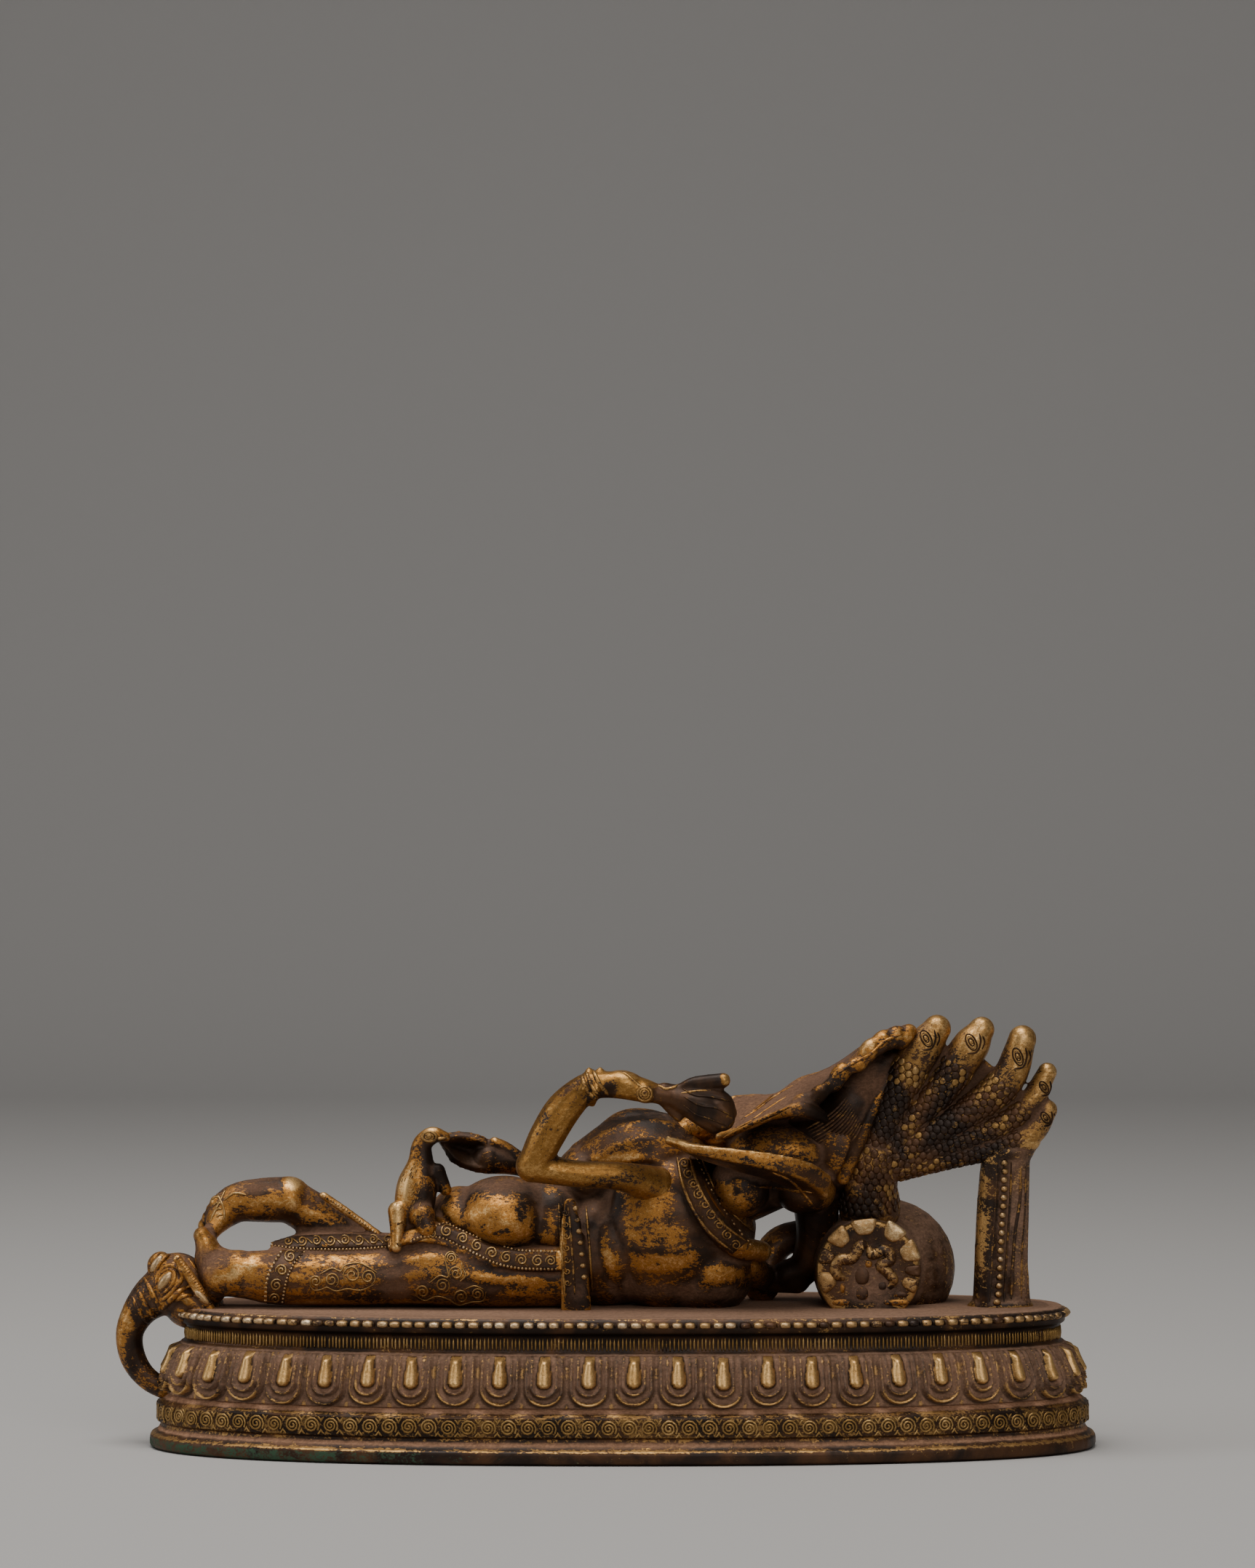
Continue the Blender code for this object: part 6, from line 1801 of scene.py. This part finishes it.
def serpent_hood():
    heads = []
    for path in SERPENTS:
        x, y, z, r = path[-1]
        x0, y0, z0, _ = path[-2]
        rows = [(x0 + (x - x0) * share, depth, z0 + (z - z0) * share, r * wide)
                for share, depth, wide in ((0.2, y0, 1.22), (0.8, y, 1.12))]
        heads.append(limb(at(*rows, (x, y, z, r * 0.8))))
    skin = skin_piece("serpent_hood", serpents() + heads, "dull_gilt", HOOD, gilt=0.2, dust=0.42, patches=HOOD_WEAR_AND_SHADE)
    spots, wear = [], []
    own = np.random.default_rng(71)
    stem = ((50.9, -0.6, 20.5, 5.7), (50.8, -2, 25, 5.1), (51.5, -3, 30, 5.0), (53.0, -3.4, 33.5, 4.6))
    for path, first, last in [(path, 0.06, 0.8) for path in SERPENTS] + [(stem, 0.05, 0.98)]:
        for spot, out, way, small in neck_scales(path, first, last):
            size = 0.98 * SHARE * small * own.uniform(0.94, 1.06)
            spots.append((fig(*spot), out, way, (size, size * 0.86, size * 0.4)))
            wear.append(own.uniform(0.08, 0.58) + 0.3 * (spot[2] > 46))
    set_motifs("hood_scales", scale_mesh(), zip(*spots), "scale_gilt", gilt=np.array(wear), dust=0.1)
    bare = [skin]
    # Eyes: gold rings and curls, with dark rings and brow lines of painted shade that stand for the incised grooves
    gold, dark = [], []
    for x, y, wide, high, turn in ((1273, 1428, 4.6, 8.4, 28), (1335, 1433, 4.6, 8.4, 28), (1399, 1453, 4.4, 8.8, 20),
                                   (1435, 1495, 3.4, 6.2, 32), (1437, 1537, 3.4, 6.2, 36)):
        lean = math.radians(turn)
        for share, thick, lines in ((1.45, 0.15, dark), (1.02, 0.15, gold), (0.66, 0.14, dark), (0.26, 0.22, gold)):
            lines += laid_ring(x, y, wide * share, high * share, bare, thick, lean=lean)
        dark += laid_line(((x - wide * 1.2, y + high * 1.9), (x + wide * 1.6, y + high * 1.6), (x + wide * 2.8, y),
                           (x + wide * 2.4, y - high * 1.4)), bare, 0.2, 0.0)
        dark += laid_line(((x + wide * 3.4, y - high * 1.0), (x + wide * 4.0, y), (x + wide * 3.2, y + high * 1.2)),
                bare, 0.18, 0.0)
        gold += laid_line(curl(x - wide * 1.5, y + high * 2.3, 4.4, 1.2, 0, 1), bare, 0.15, 0.0, smooth=False)
    threads("serpent_eyes", gold, "scale_gilt", gilt=0.62, dust=0.1)
    threads("serpent_brows", dark, "dull_gilt", gilt=-0.1, dust=0.0, shade=0.55)


def rosette_petal():
    """A gilt block of the cushion's end: flat on top and narrower towards the middle."""
    mesh = bead_mesh(20, 10, 2.2)
    for vert in mesh.vertices:
        x, y, z = vert.co
        y = math.copysign(abs(y) ** 0.62, y)
        swell = 1.0 + 0.12 * math.sin(5.0 * x + 3.0 * y)
        vert.co = (x * (0.88 - 0.3 * y), y, math.copysign(abs(z) ** 0.8, z) * swell)
    return mesh


def laid_blocks(name, motif, rows, carriers, finish_name, dust):
    """Blocks that face the viewer, from rows of place, turn in degrees, size in millimetres and gilt."""
    spots, wear = [], []
    for x, y, degrees, size, gilt in rows:
        spot = on_skin(x, y, carriers, -0.0002)
        if spot:
            turn = math.radians(degrees)
            ahead = (-math.sin(turn), 0.0, math.cos(turn))
            spots.append((spot[0], (0.0, -1.0, 0.05), ahead, [part * MM for part in size]))
            wear.append(gilt)
    set_motifs(name, motif, zip(*spots), finish_name, gilt=np.array(wear), dust=dust)


def bolster_and_post():
    skin = skin_piece("bolster_and_post", bolster() + post(), "dusty_petals", BROAD, gilt=0.14, dust=0.5,
                      patches=BOLSTER_WEAR_AND_SHADE)
    bare = [skin]
    # Petals of the cushion's end: angle in degrees, radius in the photograph's frame, half width, half length, gilt
    petals = []
    for angle, radius, wide, high, gilt in (
            (134, 58, 2.15, 1.75, 0.86), (97, 57, 2.45, 1.55, 0.92), (56, 59, 2.15, 1.7, 0.92),
             (22, 59, 2.15, 1.75, 0.88),
            (-3, 60, 1.15, 1.55, 0.1), (-21, 60, 1.45, 1.6, 0.52), (165, 60, 1.5, 1.45, 0.4),
             (197, 60, 2.1, 1.6, 0.62)):
        turn = math.radians(angle)
        petals.append((1195 + radius * math.cos(turn), 1744 - radius * math.sin(turn), angle,
                       (1.1 * wide, 1.1 * high, 0.74), gilt))
    laid_blocks("bolster_petals", rosette_petal(), petals, bare, "rosette_gilt", 0.14)
    # The vase in its middle and the low blocks at its foot
    laid_blocks("bolster_vase", bead_mesh(16, 10, 1.5), (
        (1185, 1754, -90, (1.55, 1.9, 0.55), -0.1), (1185, 1778, -90, (1.35, 1.5, 0.5), 0.42),
        (1194, 1738, -90, (0.75, 0.8, 0.55), 0.62), (1156, 1791, -90, (2.0, 0.75, 0.5), 0.6),
        (1232, 1791, -90, (2.9, 0.7, 0.5), 0.55), (1238, 1780, -90, (1.5, 0.65, 0.45), 0.35),
        (1158, 1771, -90, (0.55, 1.1, 0.5), 0.6), (1213, 1768, -90, (0.9, 0.9, 0.45), -0.2),
    ), bare, "worn_gilt", 0.4)
    lines = []
    lines += laid_lines((
        (((1193, 1712), (1184, 1712), (1177, 1722), (1170, 1731), (1155, 1732), (1148, 1742), (1151, 1753),
         (1162, 1758)), 1.22),
        (((1193, 1712), (1197, 1724), (1204, 1724), (1213, 1719), (1223, 1724), (1223, 1734), (1210, 1740),
         (1221, 1750), (1228, 1761), (1222, 1772)), 1.15),
    ), bare, -0.0003)
    threads("bolster_ribbons", lines, "rosette_gilt", gilt=0.52, dust=0.2, sides=8)
    # Post: a column of roller beads in the channel between the two worn arrises
    column = (((1380, 1598), (1379, 1640), (1376, 1690), (1373, 1740), (1370, 1792)), 11.6, (0.68, 0.8, 0.74))
    bead_rows("post_beads", [column], bare, lift=0.00035, gilt=0.95, dust=0.1, motif=bead_mesh(10, 7))
    lines = []
    lines += laid_lines((
        (((1370, 1598), (1369, 1640), (1366, 1690), (1363, 1740), (1360, 1790)), 0.24),
        (((1390, 1598), (1389, 1640), (1386, 1690), (1383, 1740), (1380, 1790)), 0.24),
        (((1403, 1606), (1402, 1650), (1396, 1690), (1392, 1740), (1390, 1786)), 0.34),
        (((1410, 1604), (1409, 1660), (1405, 1720), (1404, 1786)), 0.24),
        (((1416, 1606), (1415, 1660), (1413, 1720), (1413, 1786)), 0.24),
    ), bare, -0.00004)
    threads("post_arrises", lines, "dull_gilt", gilt=0.42, dust=0.36)


def elephant_spout():
    skin = skin_piece("elephant_spout", spout(), "worn_gilt", FINE, BASE, gilt=0.24, dust=0.26,
                      floor=None, patches=SPOUT_WEAR_AND_SHADE)
    bare = [skin]
    lines = []
    lines += laid_lines((
        (((198, 1757), (207, 1774), (216, 1792), (222, 1799), (234, 1788), (246, 1776), (262, 1768)), 0.62),
        (((188, 1772), (196, 1788), (206, 1804), (214, 1812)), 0.62),
        (((181, 1782), (188, 1797), (197, 1812), (204, 1820)), 0.4),
        (((212, 1772), (218, 1750), (232, 1740), (246, 1745), (250, 1758), (240, 1772), (226, 1786),
         (220, 1790)), 0.48),
        (((218, 1774), (213, 1764), (220, 1752), (231, 1745), (240, 1750), (239, 1762), (230, 1774),
         (220, 1780)), 0.36), (((206, 1752), (206, 1738), (214, 1727), (222, 1722)), 0.5),
        (((213, 1756), (216, 1742), (226, 1730), (234, 1724)), 0.46),
        (((240, 1790), (254, 1782), (270, 1782), (284, 1790)), 0.46),
        (((240, 1723), (256, 1742), (272, 1766), (290, 1796)), 0.46),
        (((250, 1719), (266, 1740), (282, 1764), (298, 1790)), 0.4),
    ), bare, -0.00012)
    for i in range(22):
        t = i / 21
        x, y = 243 + 50 * t, 1726 + 68 * t
        lines += laid_line(((x - 3, y + 2.5), (x + 2, y - 0.5), (x + 7, y - 4)), bare, 0.2, 0.0, steps=2)
    threads("spout_folds_and_ruff", lines, "worn_gilt", gilt=0.5, dust=0.3, sides=8, home=BASE)
    # Eye, cheek and brow
    spots = []
    for x, y, lift, size, way in ((226, 1761, -0.0004, (2.3, 1.05, 0.95), (0.62, 0.0, 0.78)),
                                  (277, 1784, -0.0003, (2.2, 0.8, 0.7), (0.62, 0.0, -0.6)),
                                  (214, 1738, -0.0005, (2.1, 1.0, 0.9), (0.55, 0.0, 0.8))):
        spot = on_skin(x, y, bare, lift)
        if spot:
            spots.append((*spot, way, [part * MM for part in size]))
    set_motifs("spout_eye_and_cheek", bead_mesh(16, 10), zip(*spots), "roller_gilt", BASE, gilt=0.85, dust=0.1)


def figure_pieces():
    legs_and_skirt()
    body_and_straps()
    near_arm_and_bracelets()
    mouse_and_far_hand()
    head_and_ears()
    crown_and_hair()
    serpent_hood()
    bolster_and_post()
    elephant_spout()


set_camera()
studio()
lotus_base()
figure_pieces()
